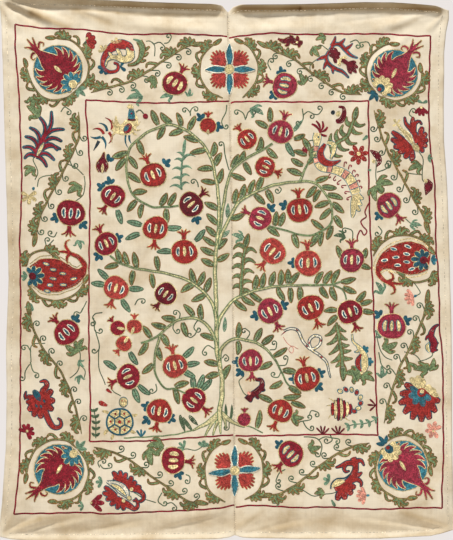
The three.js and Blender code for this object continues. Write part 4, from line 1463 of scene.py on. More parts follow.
def lotus_right_low():
    rows = new_piece("lotus_right_low")
    cut_petals(rows, 421 + 394j, (
        (405.3, 384.4, 7.4), (400.4, 393.4, 7.6), (399.6, 403.4, 7.8), (404.2, 412.6, 8), (412.4, 419, 8),
        (421.6, 421, 8), (429.6, 418.8, 8), (436, 411.6, 7.8), (439, 401.4, 7.6)), "deep")
    disc(rows, 420.4 + 399.6j, np.full(16, 15), "brick", None, 1)
    cut_petals(rows, 421 + 393.6j, (
        (410.4, 387.6, 6), (409.4, 396, 6.4), (414, 403.4, 6.6), (423.4, 405.6, 6.6), (429.8, 399, 6.4)),
        None, "sky", 3)
    cut_petals(rows, 422 + 390j, ((411, 378, 7), (417.6, 376.4, 7.4), (423, 379.4, 7)), None, "straw", 3)
    cut_petals(rows, 424.6 + 388j, ((431, 387, 6), (435.4, 391, 6.4), (437.6, 396, 5.4)), None, "straw", 3)
    ring(rows, 421.4 + 392.6j, np.full(9, 3.4), 2.4, "brick", 6)
    disc(rows, 421.8 + 391.4j, np.full(8, 2.2), "straw", None, 7)


def scroll_bottom_right():
    rows = new_piece("scroll_bottom_right")
    cut_petals(rows, 342 + 484j, (
        (337, 499.4, 7.4), (344.8, 498.2, 7.4), (351.6, 493.4, 7), (354.6, 487, 6.4)), "deep")
    bands(rows, "brick", "deep", (
        (((334.6, 489), (344, 485), (351, 479), (354.8, 471), (355.2, 463.6), (353.4, 458)), 7.6),
    ), profile=((0, 0.4), (0.25, 1), (0.55, 0.75), (0.8, 0.6), (1, 0.7)))
    bands(rows, "brick", "deep", (
        (((352, 480), (357, 479), (361, 482), (360.4, 486)), 4.4),
        (((353.4, 474), (358, 474.4), (361.4, 472.4)), 5),
        (((354.6, 464), (357.6, 460.6), (361.6, 461), (363.8, 465.4)), 4),
        (((354, 463), (348, 463), (341, 465.4), (336, 467)), 4.6),
        (((346, 464), (343.6, 468), (345.4, 471.6), (349, 471)), 2.6),
    ), 1.3)
    stroke(rows, chart(((330.6, 488), (331.6, 482.4), (337, 478.4), (345, 477.4), (351, 473.4))), 1.3,
           "deep", EVEN, None, 3)
    stroke(rows, chart(((332, 486), (337, 482.6), (344.4, 480.6))), 6.4, "straw", SPIRE, None, 3)


def scroll_right():
    rows = new_piece("scroll_right")
    stroke(rows, chart(((431, 352), (434, 344), (431, 336), (434, 328), (438, 325))), 6.4, "crimson",
           ((0, 0.8), (0.4, 1), (0.75, 0.6), (1, 0.1)), "deep", 0, rim=1.3)
    lobes(rows, "crimson", "deep", 3.6, TAIL, (
        (432 + 338j, 425.6 + 340j, 0.4), (432 + 348j, 437.6 + 350j, 0.2),
        (433 + 342j, 438 + 343j, 0.2)))
    stroke(rows, chart(((429.6, 352), (427.4, 347), (429, 343))), 3.4, "straw", SPIRE, "sky", 2)


def scroll_top():
    rows = new_piece("scroll_top")
    stroke(rows, chart(((278, 38.6), (284, 41), (290, 40), (296, 42), (302, 43))), 6.4, "wine",
           ((0, 0.2), (0.3, 0.8), (0.6, 1), (1, 0.6)), "sand", 0)
    lobes(rows, "wine", "sand", 3.6, LOBE, (
        (287 + 41j, 285 + 46j, -0.4), (292 + 39j, 290 + 35.6j, 0.1),
        (297 + 40j, 297 + 35.6j, 0.1), (298 + 43j, 299 + 47.6j, -0.2)))
    disc(rows, 297 + 42j, np.full(8, 1.2), "straw", None, 3)


def scroll_lower():
    rows = new_piece("scroll_lower")
    stroke(rows, chart(((247, 400), (252, 395), (258, 391), (262, 386), (261, 380), (256, 379.6))), 6,
           "wine", ((0, 1), (0.5, 0.9), (0.8, 0.6), (1, 0.4)), "teal", 0)
    lobes(rows, "wine", "teal", 4, LOBE, (
        (252 + 395j, 251 + 402j, 0.1), (257 + 392j, 258 + 398.6j, 0.1),
        (261 + 388j, 265 + 390j, 0.1)))
    disc(rows, 249 + 393j, np.full(8, 2.0), "pink", None, 3)


def drops():
    rows = new_piece("drops")
    for pairs, wide, seed in (
        (((427, 179), (428.6, 186), (426, 195)), 8.6, 425.6 + 181j),
        (((370.4, 150.4), (377, 155), (379.6, 162), (376, 167)), 6.4, 373.4 + 161j),
    ):
        stroke(rows, chart(pairs), wide, "wine", ((0, 0.2), (0.3, 1), (0.6, 0.9), (1, 0.1)))
        disc(rows, seed, oval(2.6, 1.6), "straw", None, 2, 70)


# Animals and other small pictures

def small_bird():
    rows = new_piece("small_bird")
    stroke(rows, chart(((112, 129), (120, 130), (127, 128), (132, 122), (132, 114))), 13, "straw",
           ((0, 0.15), (0.3, 0.75), (0.6, 1), (0.85, 0.7), (1, 0.5)), "sand", 0)
    for root, tip, bend, wide, thread in (
        (120 + 128j, 116 + 116j, -0.15, 5.4, "sand"), (117 + 128j, 112 + 120j, -0.15, 4, "sand"),
        (112 + 129.6j, 105.4 + 117.6j, 0.2, 2.8, "brick"), (107 + 131j, 98.6 + 123j, 0.22, 2.8, "teal"),
        (104 + 134j, 92.6 + 129j, 0.2, 2.8, "brick"), (101 + 137j, 90.6 + 136.6j, -0.1, 2.8, "teal"),
        (99 + 141j, 93.4 + 150.6j, 0.0, 3.2, "ink"), (102 + 137j, 105 + 148.6j, -0.15, 2.8, "teal"),
        (109 + 132j, 108.4 + 143.4j, -0.25, 2.8, "brick"), (115 + 133j, 112 + 143j, 0.2, 2.2, "sand"),
        (125.4 + 135j, 128.4 + 148j, 0.1, 1.8, "teal"), (129 + 135j, 131.6 + 143.6j, 0.1, 2.2, "teal"),
        (134 + 126j, 140 + 121j, 0.2, 2, "sand"), (134 + 129j, 141 + 129j, 0.2, 2, "sand"),
        (133 + 132j, 137 + 135j, 0.2, 2.4, "sand"),
    ):
        blade(rows, root, tip, bend, wide, thread, TAIL, None, 1)
    disc(rows, 127.8 + 128.4j, oval(6, 3.4), "crimson", None, 3, 128)
    disc(rows, 126.4 + 128.2j, oval(4.4, 1.7), "sky", None, 4, 128)
    stroke(rows, chart(((131.6, 109), (131.4, 113), (131.4, 118.4))), 7.4, "sky",
           ((0, 0.5), (0.4, 0.9), (1, 1)), None, 3)
    disc(rows, 131.4 + 113.4j, np.full(7, 0.9), "crimson", None, 5)
    stroke(rows, chart(((127.6, 119.6), (131.4, 120.2), (135.4, 119.4))), 1.6, "wine", EVEN, None, 4)
    fan(rows, 130.6 + 109.4j, 272, 90, (4.6, 5.4, 5.2, 4.4), 2.4, "straw", PETAL, None, 2)
    row(rows, curve(chart(((136, 112), (140, 110), (144, 114)))), 1.1, "moss", 2)
    disc(rows, 145.6 + 116.4j, np.full(9, 2.8), "crimson", None, 2)


def peacock():
    rows = new_piece("peacock")
    body = ((317.8, 133), (316.6, 142), (315.8, 152), (316.6, 162), (321, 167.4), (331, 169),
            (341, 172), (348.6, 177.6), (353, 184.4), (355.6, 192.6))
    stroke(rows, chart(body), 9, "straw",
           ((0, 0.75), (0.07, 0.9), (0.16, 0.5), (0.4, 0.62), (0.6, 0.85), (1, 1)), "sky", 0)
    line = curve(chart(body), 1.2)
    for share in (0.19, 0.33, 0.54, 0.74, 0.92):
        wide = 8.6 * np.interp(share, (0, 0.16, 0.4, 0.6, 1), (0.75, 0.5, 0.62, 0.85, 1))
        for step in (-2.6, -1.4, 0, 1.4, 2.6):
            here, way = place_on(line, share + step / lengths_of(line)[-1])
            tone = "teal" if abs(step) > 2 else "pink"
            row(rows, here + 1j * way * np.linspace(-wide / 2, wide / 2, 5),
                0.8 if tone == "teal" else 1.6, tone, 2)
    for root, tip, bend, wide in ((357 + 194j, 363 + 198.6j, 0.1, 4), (357 + 198j, 361.6 + 205j, 0.1, 4),
                                  (356 + 202j, 359.6 + 211j, 0.1, 4), (355 + 195j, 352.4 + 217j, 0.0, 5.4)):
        blade(rows, root, tip, bend, wide, "straw", LOBE, "sky", 0)
    stroke(rows, chart(((325, 144), (320.6, 152), (322.4, 160), (330, 164), (340, 160.4))), 7, "brick",
           ((0, 0.3), (0.4, 1), (0.7, 0.8), (1, 0.08)), "sky", 2)
    stroke(rows, chart(((327, 142.6), (333, 144), (333.6, 152), (331, 158.6))), 5.4, "straw",
           ((0, 0.4), (0.4, 1), (1, 0.2)), "sky", 2)
    for tip in (311.4 + 124j, 316 + 121j, 322.6 + 121j, 327.4 + 126.6j, 327 + 136j):
        blade(rows, 319.6 + 132.6j, tip, 0.14, 2.6, "crimson", ((0, 0.3), (0.6, 1), (1, 0.6)), None, 1)
    disc(rows, 318.6 + 137j, np.full(7, 0.9), "teal", None, 3)
    row(rows, curve(chart(((314, 140), (309, 141), (305.6, 146)))), 1.0, "moss", 1)
    disc(rows, 304.9 + 150.6j, oval(4.4, 2.4), "crimson", None, 1, 80)
    for side, places in ((1, ((345.4, 164.3), (350.2, 167.2), (353.7, 172), (356.6, 176), (358.5, 181.8),
                              (360.5, 187.7))),
                         (-1, ((330.2, 176), (335.1, 178.9), (339, 182.8), (343.9, 186.7),
                               (346.8, 192.6), (348.8, 198.4)))):
        for pair in places:
            centre = complex(*pair)
            place, _ = place_on(line, nearest_share(line, centre))
            coil(rows, place * 0.35 + centre * 0.65, centre + (centre - place) * 0.12, side, 1.6,
                 "crimson", 1.1, 0.8)
    stroke(rows, chart(((338.4, 106.6), (343.4, 107.6), (344.2, 113), (341.4, 119.6), (336.4, 121.4))),
           6, "wine", ((0, 0.3), (0.3, 0.6), (0.8, 1), (1, 0.7)), None, 1)
    disc(rows, 338.4 + 113.6j, oval(3.4, 2.2), "straw", None, 1, 110)
    disc(rows, 333 + 112.6j, oval(2.6, 2.0), "ink", None, 1, 120)


def snake():
    rows = new_piece("snake")
    body = ((284, 331), (291.6, 328.4), (298, 331), (303.6, 342), (311, 349), (319, 345.4),
            (320.4, 337.6), (314, 335.6), (309.4, 341), (312, 349.6), (320, 355.6),
            (326.6, 362.7), (330.2, 377))
    stroke(rows, chart(body), 1.5, "ivory", ((0, 0.5), (0.1, 1), (0.8, 1), (1, 0.15)), "deep", 1, rim=1.1)
    line = curve(chart(body), 1.2)
    for k in range(10):
        place, way = place_on(line, 0.12 + 0.085 * k)
        row(rows, place + way * np.linspace(-1.2, 1.2, 3), 1.3, ("brick", "straw")[k % 2], 3)
    fan(rows, 286 + 331j, 172, 60, (7, 6), 1.2, "brick", TAIL)


def fish_bird():
    rows = new_piece("fish_bird")
    stroke(rows, chart(((352, 334), (353.6, 342), (360, 348.4), (364.6, 358), (364.6, 368), (361, 373))),
           7, "straw", ((0, 0.1), (0.3, 0.3), (0.55, 0.8), (0.8, 1), (1, 0.4)), "sky", 0)
    stroke(rows, chart(((361, 354), (358, 361), (358.4, 367), (361, 371))), 4.4, "brick", SPIRE, "teal", 1)
    blade(rows, 358 + 347j, 354.6 + 352j, -0.4, 2.6, "straw", TAIL, "sky", 0)
    for place, way in ((365.6 + 349j, 330), (370 + 361.6j, 0)):
        fan(rows, place - turn(way) * 1.5, way, 120, (4.6, 5, 4.6), 3.2, "sky", SEED, None, 1)


def hedgehog():
    rows = new_piece("hedgehog")
    stripes = ((6, "brick"), (9, "straw"), (11, "crimson"), (10.5, "straw"), (9, "crimson"),
               (7, "straw"), (5, "crimson"))
    for k, (half, thread) in enumerate(stripes):
        x = 332.4 + 2.9 * k
        stroke(rows, chart(((x, 409 - half), (x + 0.6, 409), (x, 409 + half))), 2.7, thread, SEED,
               "ink", 0, step=1.5)
    for root, tip in ((334 + 402j, 328 + 398j), (332 + 406j, 326 + 406j), (333 + 414j, 328 + 419j),
                      (345 + 417j, 350 + 421j)):
        blade(rows, root, tip, 0.1, 1.6, "sand", TAIL)
    chain = ((340, 391.4), (345.6, 389.4), (351.4, 389.6), (356.6, 392.6), (360.4, 397.4),
             (360.6, 403), (358, 408), (354, 411))
    for k, pair in enumerate(chain):
        disc(rows, complex(*pair), oval(2.5, 1.6), ("straw", "brick")[k % 2], "sky", 1, 25 + 24 * k)
    fan(rows, 341 + 391.6j, 170, 70, (4, 4), 1.2, "brick", TAIL)


def tortoise():
    rows = new_piece("tortoise")
    shell = 119.8 + 421.7j
    disc(rows, shell, np.full(22, 12.8), "straw", None, 1)
    ring(rows, shell, np.full(26, 13.2), 1.8, "teal", 3)
    ring(rows, shell, np.full(6, 5.8), 1.6, "teal", 3, 30)
    for k in range(6):
        out = turn(60 * k + 30)
        row(rows, shell + out * np.linspace(5.8, 13, 5), 1.6, "teal", 3)
        disc(rows, shell + turn(60 * k) * 9.2, np.full(6, 1.2), "brick", None, 3)
    disc(rows, shell, np.full(6, 1.8), "brick", None, 3)
    disc(rows, 123.6 + 402j, oval(4.8, 3.8), "straw", "teal", 1, 280)
    for at in (122.4 + 400.6j, 125.2 + 400.8j):
        disc(rows, at, np.full(6, 0.7), "brick", None, 4)
    for root, tip in ((109 + 414j, 102 + 411j), (131 + 415j, 137.6 + 414j), (109 + 429j, 104 + 435.6j),
                      (130 + 430j, 135.6 + 433j), (114 + 434j, 111.6 + 440j)):
        blade(rows, root, tip, 0.1, 3.4, "sand", LEAF, None, 0)
    row(rows, curve(chart(((110.6, 386), (114, 392), (121, 396)))), 1.0, "moss", 0)


def plants():
    rows = new_piece("plants")
    for spine, count, thread in ((((95.6, 438), (96, 424), (94, 409)), 5, "moss"),
                                 (((378, 417), (368, 423), (356, 424), (346, 427)), 5, "mint")):
        line = curve(chart(spine), 1.8)
        row(rows, line, 1.1, thread, 1)
        for k in range(count):
            place, way = place_on(line, 0.06 + 0.84 * k / (count - 1))
            for side in (-1, 1):
                leaf(rows, place, degrees_of(way) + side * 52, 5.6, 3, 0, thread, None)
    for pairs, wide, thread, layer in (
        (((369.4, 202), (365, 212), (366, 217), (361, 221), (363, 226), (367, 231), (363.6, 235),
          (360.6, 230), (357.4, 236), (357.6, 242)), 1.4, "crimson", 1),
        (((283, 337), (288, 344), (293, 348), (292, 353), (288.6, 350), (292, 346), (298, 349)),
         0.8, "pink", 0),
    ):
        row(rows, curve(chart(pairs), 1.2), wide, thread, layer)


border_lines()
border_vines()
round_flowers()
rosettes()
paisleys()
tree()
ferns()
fruits()
fruit_leaves()
small_flowers()
flame_flower()
crested_drop()
lotus_left()
lotus_bottom_left()
lotus_top_right()
lotus_right()
lotus_right_low()
scroll_bottom_right()
scroll_right()
scroll_top()
scroll_lower()
drops()
small_bird()
peacock()
snake()
fish_bird()
hedgehog()
tortoise()
plants()


# How the cloth and the silk are made

def shader(name):
    material = bpy.data.materials.new(name)
    material.use_nodes = True
    nodes, links = material.node_tree.nodes, material.node_tree.links
    return material, nodes, links, nodes["Principled BSDF"]


def node(nodes, kind, **inputs):
    made = nodes.new(kind)
    for key, value in inputs.items():
        made.inputs[key.replace("_", " ")].default_value = value
    return made


def pattern(nodes, links, kind, place, **inputs):
    """A pattern laid out by some coordinates."""
    made = node(nodes, kind, **inputs)
    links.new(place, made.inputs["Vector"])
    return made


def shaded(nodes, links, colour, by, **reach):
    """A colour made darker or lighter by a pattern, whose values are spread over a reach."""
    share = node(nodes, "ShaderNodeMapRange", **reach)
    links.new(by, share.inputs["Value"])
    made = node(nodes, "ShaderNodeVectorMath")
    made.operation = "SCALE"
    links.new(colour, made.inputs[0])
    links.new(share.outputs["Result"], made.inputs["Scale"])
    return made.outputs["Vector"]


def surface(nodes, links, body, colour, height, relief, rough, shine, sheen):
    """Joins a colour and a raised height to a material. The relief is a strength and a depth."""
    links.new(colour, body.inputs["Base Color"])
    bump = node(nodes, "ShaderNodeBump", Strength=relief[0], Distance=relief[1])
    links.new(height, bump.inputs["Height"])
    links.new(bump.outputs["Normal"], body.inputs["Normal"])
    body.inputs["Roughness"].default_value = rough
    body.inputs["Specular IOR Level"].default_value = shine
    body.inputs["Sheen Weight"].default_value = sheen


def silk(name):
    """Silk thread: its own colour in each row, uneven dye, and the links of chain stitch with painted shade
    between them.
    """
    material, nodes, links, body = shader(name)
    thread = nodes.new("ShaderNodeAttribute")
    thread.attribute_name = "Thread"
    place = nodes.new("ShaderNodeTexCoord").outputs["Object"]
    stitch = nodes.new("ShaderNodeUVMap")
    stitch.uv_map = "Stitch"
    dye = pattern(nodes, links, "ShaderNodeTexNoise", place, Scale=95.0, Detail=3.0)
    strand = pattern(nodes, links, "ShaderNodeTexNoise", place, Scale=330.0, Detail=1.0)
    link = pattern(nodes, links, "ShaderNodeTexWave", stitch.outputs["UV"], Scale=0.5,
                   Distortion=0.6, Detail=1.0)
    link.wave_profile = "SIN"
    colour = shaded(nodes, links, thread.outputs["Color"], dye.outputs["Fac"], From_Min=0.3,
                    From_Max=0.7, To_Min=0.66, To_Max=1.3)
    # Painted shade between the links of chain stitch: the colour is darker where the links' bump is low.
    colour = shaded(nodes, links, colour, link.outputs["Fac"], To_Min=0.72, To_Max=1.08)
    colour = shaded(nodes, links, colour, strand.outputs["Fac"], From_Min=0.34, From_Max=0.66,
                    To_Min=0.58, To_Max=1.5)
    surface(nodes, links, body, colour, link.outputs["Fac"], (0.5, 0.0004), 0.6, 0.25, 0.05)
    return material


def cotton(name):
    """Unbleached hand-woven cotton: a plain weave, slubs, the stains of age, and painted shade carried by
    the Cloth colours.
    """
    material, nodes, links, body = shader(name)
    # The Cloth colours carry the stains and the painted shade of cloth_tint.
    tint = nodes.new("ShaderNodeAttribute")
    tint.attribute_name = "Cloth"
    place = nodes.new("ShaderNodeTexCoord").outputs["Object"]
    mottle = pattern(nodes, links, "ShaderNodeTexNoise", place, Scale=11.0, Detail=8.0,
                     Roughness=0.68)
    tone = nodes.new("ShaderNodeValToRGB")
    for stop, position, colour in zip(tone.color_ramp.elements, (0.3, 0.56),
                                      ((0.8, 0.73, 0.62, 1), (1.03, 1.03, 1.02, 1))):
        stop.position = position
        stop.color = colour
    links.new(mottle.outputs["Fac"], tone.inputs["Fac"])
    aged_and_shaded = node(nodes, "ShaderNodeVectorMath")
    aged_and_shaded.operation = "MULTIPLY"
    links.new(tint.outputs["Color"], aged_and_shaded.inputs[0])
    links.new(tone.outputs["Color"], aged_and_shaded.inputs[1])

    weave = node(nodes, "ShaderNodeMath")
    weave.operation = "MAXIMUM"
    for k, direction in enumerate(("X", "Z")):
        yarn = pattern(nodes, links, "ShaderNodeTexWave", place, Scale=220.0, Distortion=1.2,
                       Detail=2.0)
        yarn.bands_direction = direction
        links.new(yarn.outputs["Fac"], weave.inputs[k])
    colour = shaded(nodes, links, aged_and_shaded.outputs["Vector"], weave.outputs["Value"], To_Min=0.93,
                    To_Max=1.02)
    for stretch in ((11, 11, 290), (290, 11, 9)):
        along = pattern(nodes, links, "ShaderNodeMapping", place, Scale=stretch)
        slub = pattern(nodes, links, "ShaderNodeTexNoise", along.outputs["Vector"], Scale=1.0,
                       Detail=2.0)
        colour = shaded(nodes, links, colour, slub.outputs["Fac"], From_Min=0.3, From_Max=0.7,
                        To_Min=0.975, To_Max=1.02)
    surface(nodes, links, body, colour, weave.outputs["Value"], (0.25, 0.0003), 0.9, 0.2, 0.1)
    return material


# Patches that age has browned.
STAINS = (
    # x, y, reach across, reach down, strength
    (13, 152, 7, 16, 0.10), (12, 196, 6, 18, 0.12), (11, 240, 7, 22, 0.14),
    (15, 262, 8, 26, 0.10), (446, 160, 5, 12, 0.06), (447, 230, 6, 25, 0.07),
    (12, 300, 6, 24, 0.07), (10, 330, 6, 20, 0.08), (224, 240, 6, 10, 0.05),
)
# Painted shade: a brown band under the rolled top hem, and darker lines along the folds, the hems and the
# bottom and left margins.
HEM_SHADE = {"strength": 0.38, "middle": 2.6, "deep": 3.4}
FOLD_SHADE = (
    # from, to, width, strength
    ((8, 5), (40, 17), 2.6, 0.16), ((32, 13), (68, 28), 3.2, 0.3), ((74, 10), (110, 23), 3.4, 0.16),
    ((1, 8), (10, 26), 2, 0.1), ((118, 13), (224, 15), 2.0, 0.2), ((120, 27), (180, 31), 4, 0.08),
    ((40, 6), (118, 12), 1.6, 0.16), ((234, 12), (300, 10), 2.0, 0.22), ((300, 10), (440, 11), 1.8, 0.16),
    ((392, 30), (416, 20), 2, 0.12), ((440, 14), (428, 30), 2, 0.08), ((6, 534), (40, 518), 3, 0.14),
    ((40, 518), (100, 514), 3, 0.12), ((4, 532), (14, 514), 2.6, 0.1), ((60, 532), (140, 524), 4, 0.08),
    ((236, 528), (262, 512), 3, 0.12), ((262, 530), (330, 520), 4, 0.1), ((446, 526), (400, 511), 3, 0.14),
    ((400, 528), (330, 524), 4, 0.08), ((2, 500), (16, 440), 4, 0.06), ((444, 60), (440, 120), 3, 0.06),
    ((10, 522), (448, 520), 9, 0.12), ((22, 100), (24, 440), 9, 0.05), ((60, 20), (226, 24), 7, 0.04),
    ((96, 5.6), (224, 10.4), 1.3, 0.2), ((236, 8.6), (300, 8.2), 1.3, 0.2),
    ((300, 8.2), (440, 9.2), 1.3, 0.18), ((370, 38), (346, 64), 4, 0.1), ((250, 24), (420, 26), 7, 0.03),
    ((12, 539.4), (224, 538.6), 1.3, 0.16), ((242, 538), (380, 538.4), 1.3, 0.16),
    ((380, 538.4), (450, 531.6), 1.3, 0.16),
)
SEAM_SOIL = {"strength": 0.06, "wide": 0.7}
# How fast red, green and blue darken as the cloth browns with stains and where shade is painted on it.
BROWNING_AND_SHADE = (1.0, 1.35, 1.95)


def cloth_tint(z):
    """The cotton's colour at places on the chart: browned by stains and by soil at the seam, and darkened by
    painted shade along the folds, the hems and under the rolled top hem.
    """
    tint = np.ones(z.shape)
    for x, y, wide, tall, strength in STAINS:
        away = ((z.real - x) / wide) ** 2 + ((z.imag - y) / tall) ** 2
        tint -= strength * np.exp(-away)
    # Painted shade along the folds and hems: the cotton darkens towards each listed line.
    for start, end, wide, strength in FOLD_SHADE:
        start, along = complex(*start), complex(*end) - complex(*start)
        t = np.clip(((z - start) * along.conjugate()).real / abs(along) ** 2, 0, 1)
        tint -= strength * np.exp(-(abs(z - start - along * t) / wide) ** 2)
    seam = abs(z.real - side_at(SEAM, z.imag))
    tint -= SEAM_SOIL["strength"] * np.exp(-(seam / SEAM_SOIL["wide"]) ** 2)
    # Painted shade under the rolled top hem: a brown band a few squares below the top edge, weaker at the
    # left and gone where the cloth is held.
    below_top = z.imag - edge_at(TOP_EDGE, z.real)
    rolled = 0.35 + 0.65 * between(z.real, 30, 130) + 0.12 * np.sin(z.real / 9 + np.sin(z.real / 23))
    tint -= HEM_SHADE["strength"] * rolled * free_of(HELD_AT_TOP, z.real) * np.exp(
        -((below_top - HEM_SHADE["middle"]) / HEM_SHADE["deep"]) ** 4)
    return linear(COTTON) * np.clip(tint, 0.12, 1)[..., None] ** np.array(BROWNING_AND_SHADE)


def panel(name, left, right, material):
    """One panel as a closed sheet, with its hems turned to the back."""
    tall = ROW_BANDS[-1][1]
    down = np.concatenate(
        [np.linspace(low, high, rows + 1)[1:] for low, high, rows in ROW_BANDS]
    ) / tall
    down = np.concatenate(([0], down))[:, None]
    over = np.linspace(0, 1, COLUMNS + 1)[None, :]
    low, high = side_at(left, down * tall), side_at(right, down * tall)
    x = low + (high - low) * over
    top, bottom = edge_at(TOP_EDGE, x), edge_at(BOTTOM_EDGE, x)
    y = top + (bottom - top) * down
    z = x + 1j * y
    rim = np.minimum(y - top, bottom - y)
    outer = (x - low) if left is LEFT_SIDE else (high - x)
    rim = np.minimum(rim, outer)
    hem = 1 - between(rim, HEM["deep"] - HEM["fade"], HEM["deep"])
    front = on_cloth(z, hem * HEM["extra"] * HEM["front"])
    back = front + np.array([0, CLOTH_THICKNESS, 0]) + hem[..., None] * [0, HEM["extra"], 0]
    grid = np.arange(z.size).reshape(z.shape)
    quads = quads_of(grid)
    loop = np.concatenate([grid[0, :-1], grid[:-1, -1], grid[-1, :0:-1], grid[:0:-1, 0]])
    after = np.roll(loop, -1)
    sides = np.stack([loop, after, after + z.size, loop + z.size], -1)
    faces = np.concatenate([quads, quads[:, ::-1] + z.size, sides])
    verts = np.concatenate([front.reshape(-1, 3), back.reshape(-1, 3)])
    sheet = new_object(name, verts, faces, material)
    set_colour(sheet.data, "Cloth", np.tile(cloth_tint(z).reshape(-1, 3), (2, 1)))
    flat = flat_uv(verts)
    flat[:, 0] *= 0.5
    flat[z.size:, 0] = 1 - flat[z.size:, 0]
    set_uv(sheet.data, "OFBake", flat)
    return sheet


def by_hand(line):
    """The small drifts that a drawn design picks up in the stitching."""
    x, y = line.real, line.imag
    drift = np.sin(y / 3.1 + 2 * np.sin(x / 9)) + 1j * np.sin(x / 2.7 + 2 * np.sin(y / 8))
    return line + HAND_DRIFT * drift


# The ribbon of mesh that shows a row. "over" is where its lines run, in half widths from the
# middle, "rise" their height, "uv" their place on the stitch pattern, and "share" how much of the
# row's width it takes. Ribbons lie at "base" off the cloth's front, and "layer" higher in each
# layer. The reverse shows thin flat lines of back stitches.
FACE = {
    "over": (-1, 0, 1), "share": 1, "rise": (0, ROW_RISE, 0), "base": BASE_RISE,
    "layer": LAYER_RISE, "uv": (0, 0.5, 1), "winding": -1,
}
REVERSE = {
    "over": (-1, 1), "share": 0.42, "rise": (0, 0), "base": -CLOTH_THICKNESS - BASE_RISE * 2,
    "layer": 0, "uv": (0.3, 0.7), "winding": 1,
}


def sew(name, rows, material, ribbon=FACE):
    """Turns a piece's rows into ribbons on the face of the cloth, or on its reverse."""
    places, lifts, uvs, shades, faces = [], [], [], [], []
    count = 0
    for line, width, shade, layer in sorted(rows, key=lambda one: one[3]):
        line = by_hand(line)
        half = across(line) * width * ribbon["share"] / 2
        band = line[:, None] + half[:, None] * np.array(ribbon["over"])
        places.append(band.ravel())
        lift = ribbon["base"] + layer * ribbon["layer"] + np.array(ribbon["rise"])
        lifts.append(np.tile(lift, len(line)))
        along = lengths_of(line) / STITCH + chance.random()
        uvs.append(np.stack(np.broadcast_arrays(along[:, None], ribbon["uv"]), -1).reshape(-1, 2))
        shades.append(np.tile(shade, (band.size, 1)))
        faces.append(quads_of(count + np.arange(band.size).reshape(band.shape)))
        count += band.size
    points = on_cloth(np.concatenate(places), np.concatenate(lifts))
    made = new_object(name, points, np.concatenate(faces)[:, ::ribbon["winding"]], material)
    set_uv(made.data, "OFBake", flat_uv(points))
    set_uv(made.data, "Stitch", np.concatenate(uvs))
    set_colour(made.data, "Thread", np.concatenate(shades))
    return made


def dashes(rows, line):
    """Running stitches along a hem, in the thread the cloth is sewn with."""
    long, gap = HEM_STITCH["long"], HEM_STITCH["gap"]
    along = lengths_of(line)
    for start in np.arange(gap, along[-1] - long, long + gap):
        at = start + np.array([0, long / 2, long])
        places = np.interp(at, along, line.real) + 1j * np.interp(at, along, line.imag)
        row(rows, places, HEM_STITCH["wide"], "twine")


def plain_sewing():
    """The running stitches of the hems, and the whip stitches that join the panels."""
    rows = new_piece("hem_stitches")
    inside = HEM["deep"] + HEM_STITCH["inside"]
    x = np.arange(8, 446, 2.0)
    for edge, way in ((TOP_EDGE, 1), (BOTTOM_EDGE, -1)):
        dashes(rows, x + 1j * (edge_at(edge, x) + way * inside))
    y = np.arange(14, 528, 2.0)
    for side, way in ((LEFT_SIDE, 1), (RIGHT_SIDE, -1)):
        dashes(rows, side_at(side, y) + way * inside + 1j * y)
    rows = new_piece("seam_stitches")
    slope = complex(SEAM_STITCH["reach"], SEAM_STITCH["slant"])
    for y in np.arange(14, 534, SEAM_STITCH["pitch"]):
        middle = complex(side_at(SEAM, y), y + SEAM_STITCH["slant"])
        row(rows, middle + slope * np.array([-1, 0, 1]), SEAM_STITCH["wide"], "twine")


def on_left(row_of_stitches):
    """Whether a row lies to the left of the seam."""
    middle = row_of_stitches[0].mean()
    return middle.real < side_at(SEAM, middle.imag)


plain_sewing()
silk_thread = silk("silk_thread")
plain_cotton = cotton("plain_cotton")
worked = [one for name, rows in pieces.items() if name != "seam_stitches" for one in rows]
embroidery = [sew(name, rows, silk_thread) for name, rows in pieces.items()]
for name, left in (("reverse_left", True), ("reverse_right", False)):
    rows = [one for one in worked if on_left(one) == left]
    embroidery.append(sew(name, rows, silk_thread, REVERSE))
left_panel = panel("left_panel", LEFT_SIDE, SEAM, plain_cotton)
right_panel = panel("right_panel", SEAM, RIGHT_SIDE, plain_cotton)
for sheet, solid, wide in ((left_panel, "cloth_left", 0.575), (right_panel, "cloth_right", 0.545)):
    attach(sheet, "root")
    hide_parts(solid)
for piece in embroidery:
    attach(piece, "root")


# The view and the light

def point_at(thing, target):
    """Turns a camera or a lamp to face a place."""
    thing.rotation_euler = (Vector(target) - thing.location).to_track_quat("-Z", "Y").to_euler()


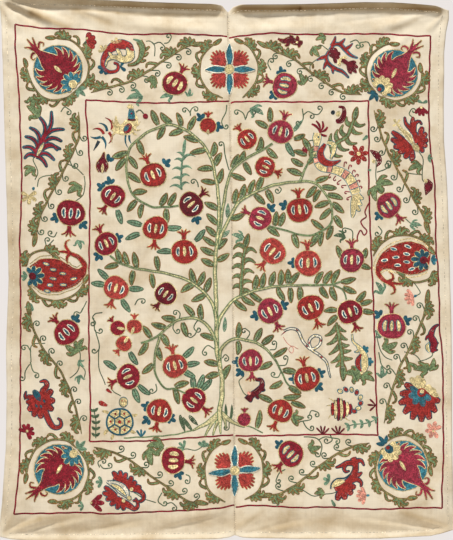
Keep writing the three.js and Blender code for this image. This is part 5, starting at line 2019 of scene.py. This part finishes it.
CAMERA_AWAY = 3.4
CLOTH_PLANE = -0.009
SENSOR = 36.0
centre = CHART_CENTRE - FIXING_POINT
target = (centre.real * SQUARE, CLOTH_PLANE, -centre.imag * SQUARE)
camera = bpy.data.objects.new("camera", bpy.data.cameras.new("camera"))
camera.data.sensor_width = SENSOR
camera.data.lens = SENSOR * CAMERA_AWAY / (PHOTO_TALL * SQUARE)
camera.location = (target[0], target[1] - CAMERA_AWAY, target[2])
point_at(camera, target)
bpy.context.collection.objects.link(camera)
bpy.context.scene.camera = camera


def lamp(name, place, watts, size, colour):
    light = bpy.data.lights.new(name, "AREA")
    light.energy = watts
    light.size = size
    light.color = colour
    thing = bpy.data.objects.new(name, light)
    thing.location = place
    bpy.context.collection.objects.link(thing)
    point_at(thing, target)


lamp("sky_light", (-1.4, -2.7, 4.4), 364, 0.6, (1.0, 0.99, 0.97))
lamp("fill_light", (0.7, -2.6, -1.0), 20, 1.2, (1.0, 0.98, 0.96))
lamp("back_light", (0.6, 2.4, 1.4), 70, 1.2, (1.0, 0.98, 0.96))

# The room is pale where it is seen, and dimmer where it lights the cloth.
world = bpy.data.worlds.new("pale_room")
world.use_nodes = True
room, room_links = world.node_tree.nodes, world.node_tree.links
room["Background"].inputs["Color"].default_value = (0.84, 0.79, 0.76, 1)
seen = room.new("ShaderNodeLightPath")
strength = node(room, "ShaderNodeMapRange", To_Min=0.24, To_Max=1.0)
room_links.new(seen.outputs["Is Camera Ray"], strength.inputs["Value"])
room_links.new(strength.outputs["Result"], room["Background"].inputs["Strength"])
bpy.context.scene.world = world
bpy.context.scene.view_settings.view_transform = "Standard"

FLOOR = {"reach": 1.1, "below": 0.35}
floor_mesh = bpy.data.meshes.new("floor")
floor_height = cad_box[0][2] - FLOOR["below"]
corners = [(x * FLOOR["reach"], y * FLOOR["reach"], floor_height)
           for x, y in ((-1, -1), (1, -1), (1, 1), (-1, 1))]
floor_mesh.from_pydata(corners, [], [(0, 1, 2, 3)])
floor = bpy.data.objects.new("floor", floor_mesh)
pale, _, _, pale_body = shader("pale_floor")
pale_body.inputs["Base Color"].default_value = (0.8, 0.77, 0.74, 1)
pale_body.inputs["Roughness"].default_value = 0.8
floor_mesh.materials.append(pale)
bpy.context.collection.objects.link(floor)
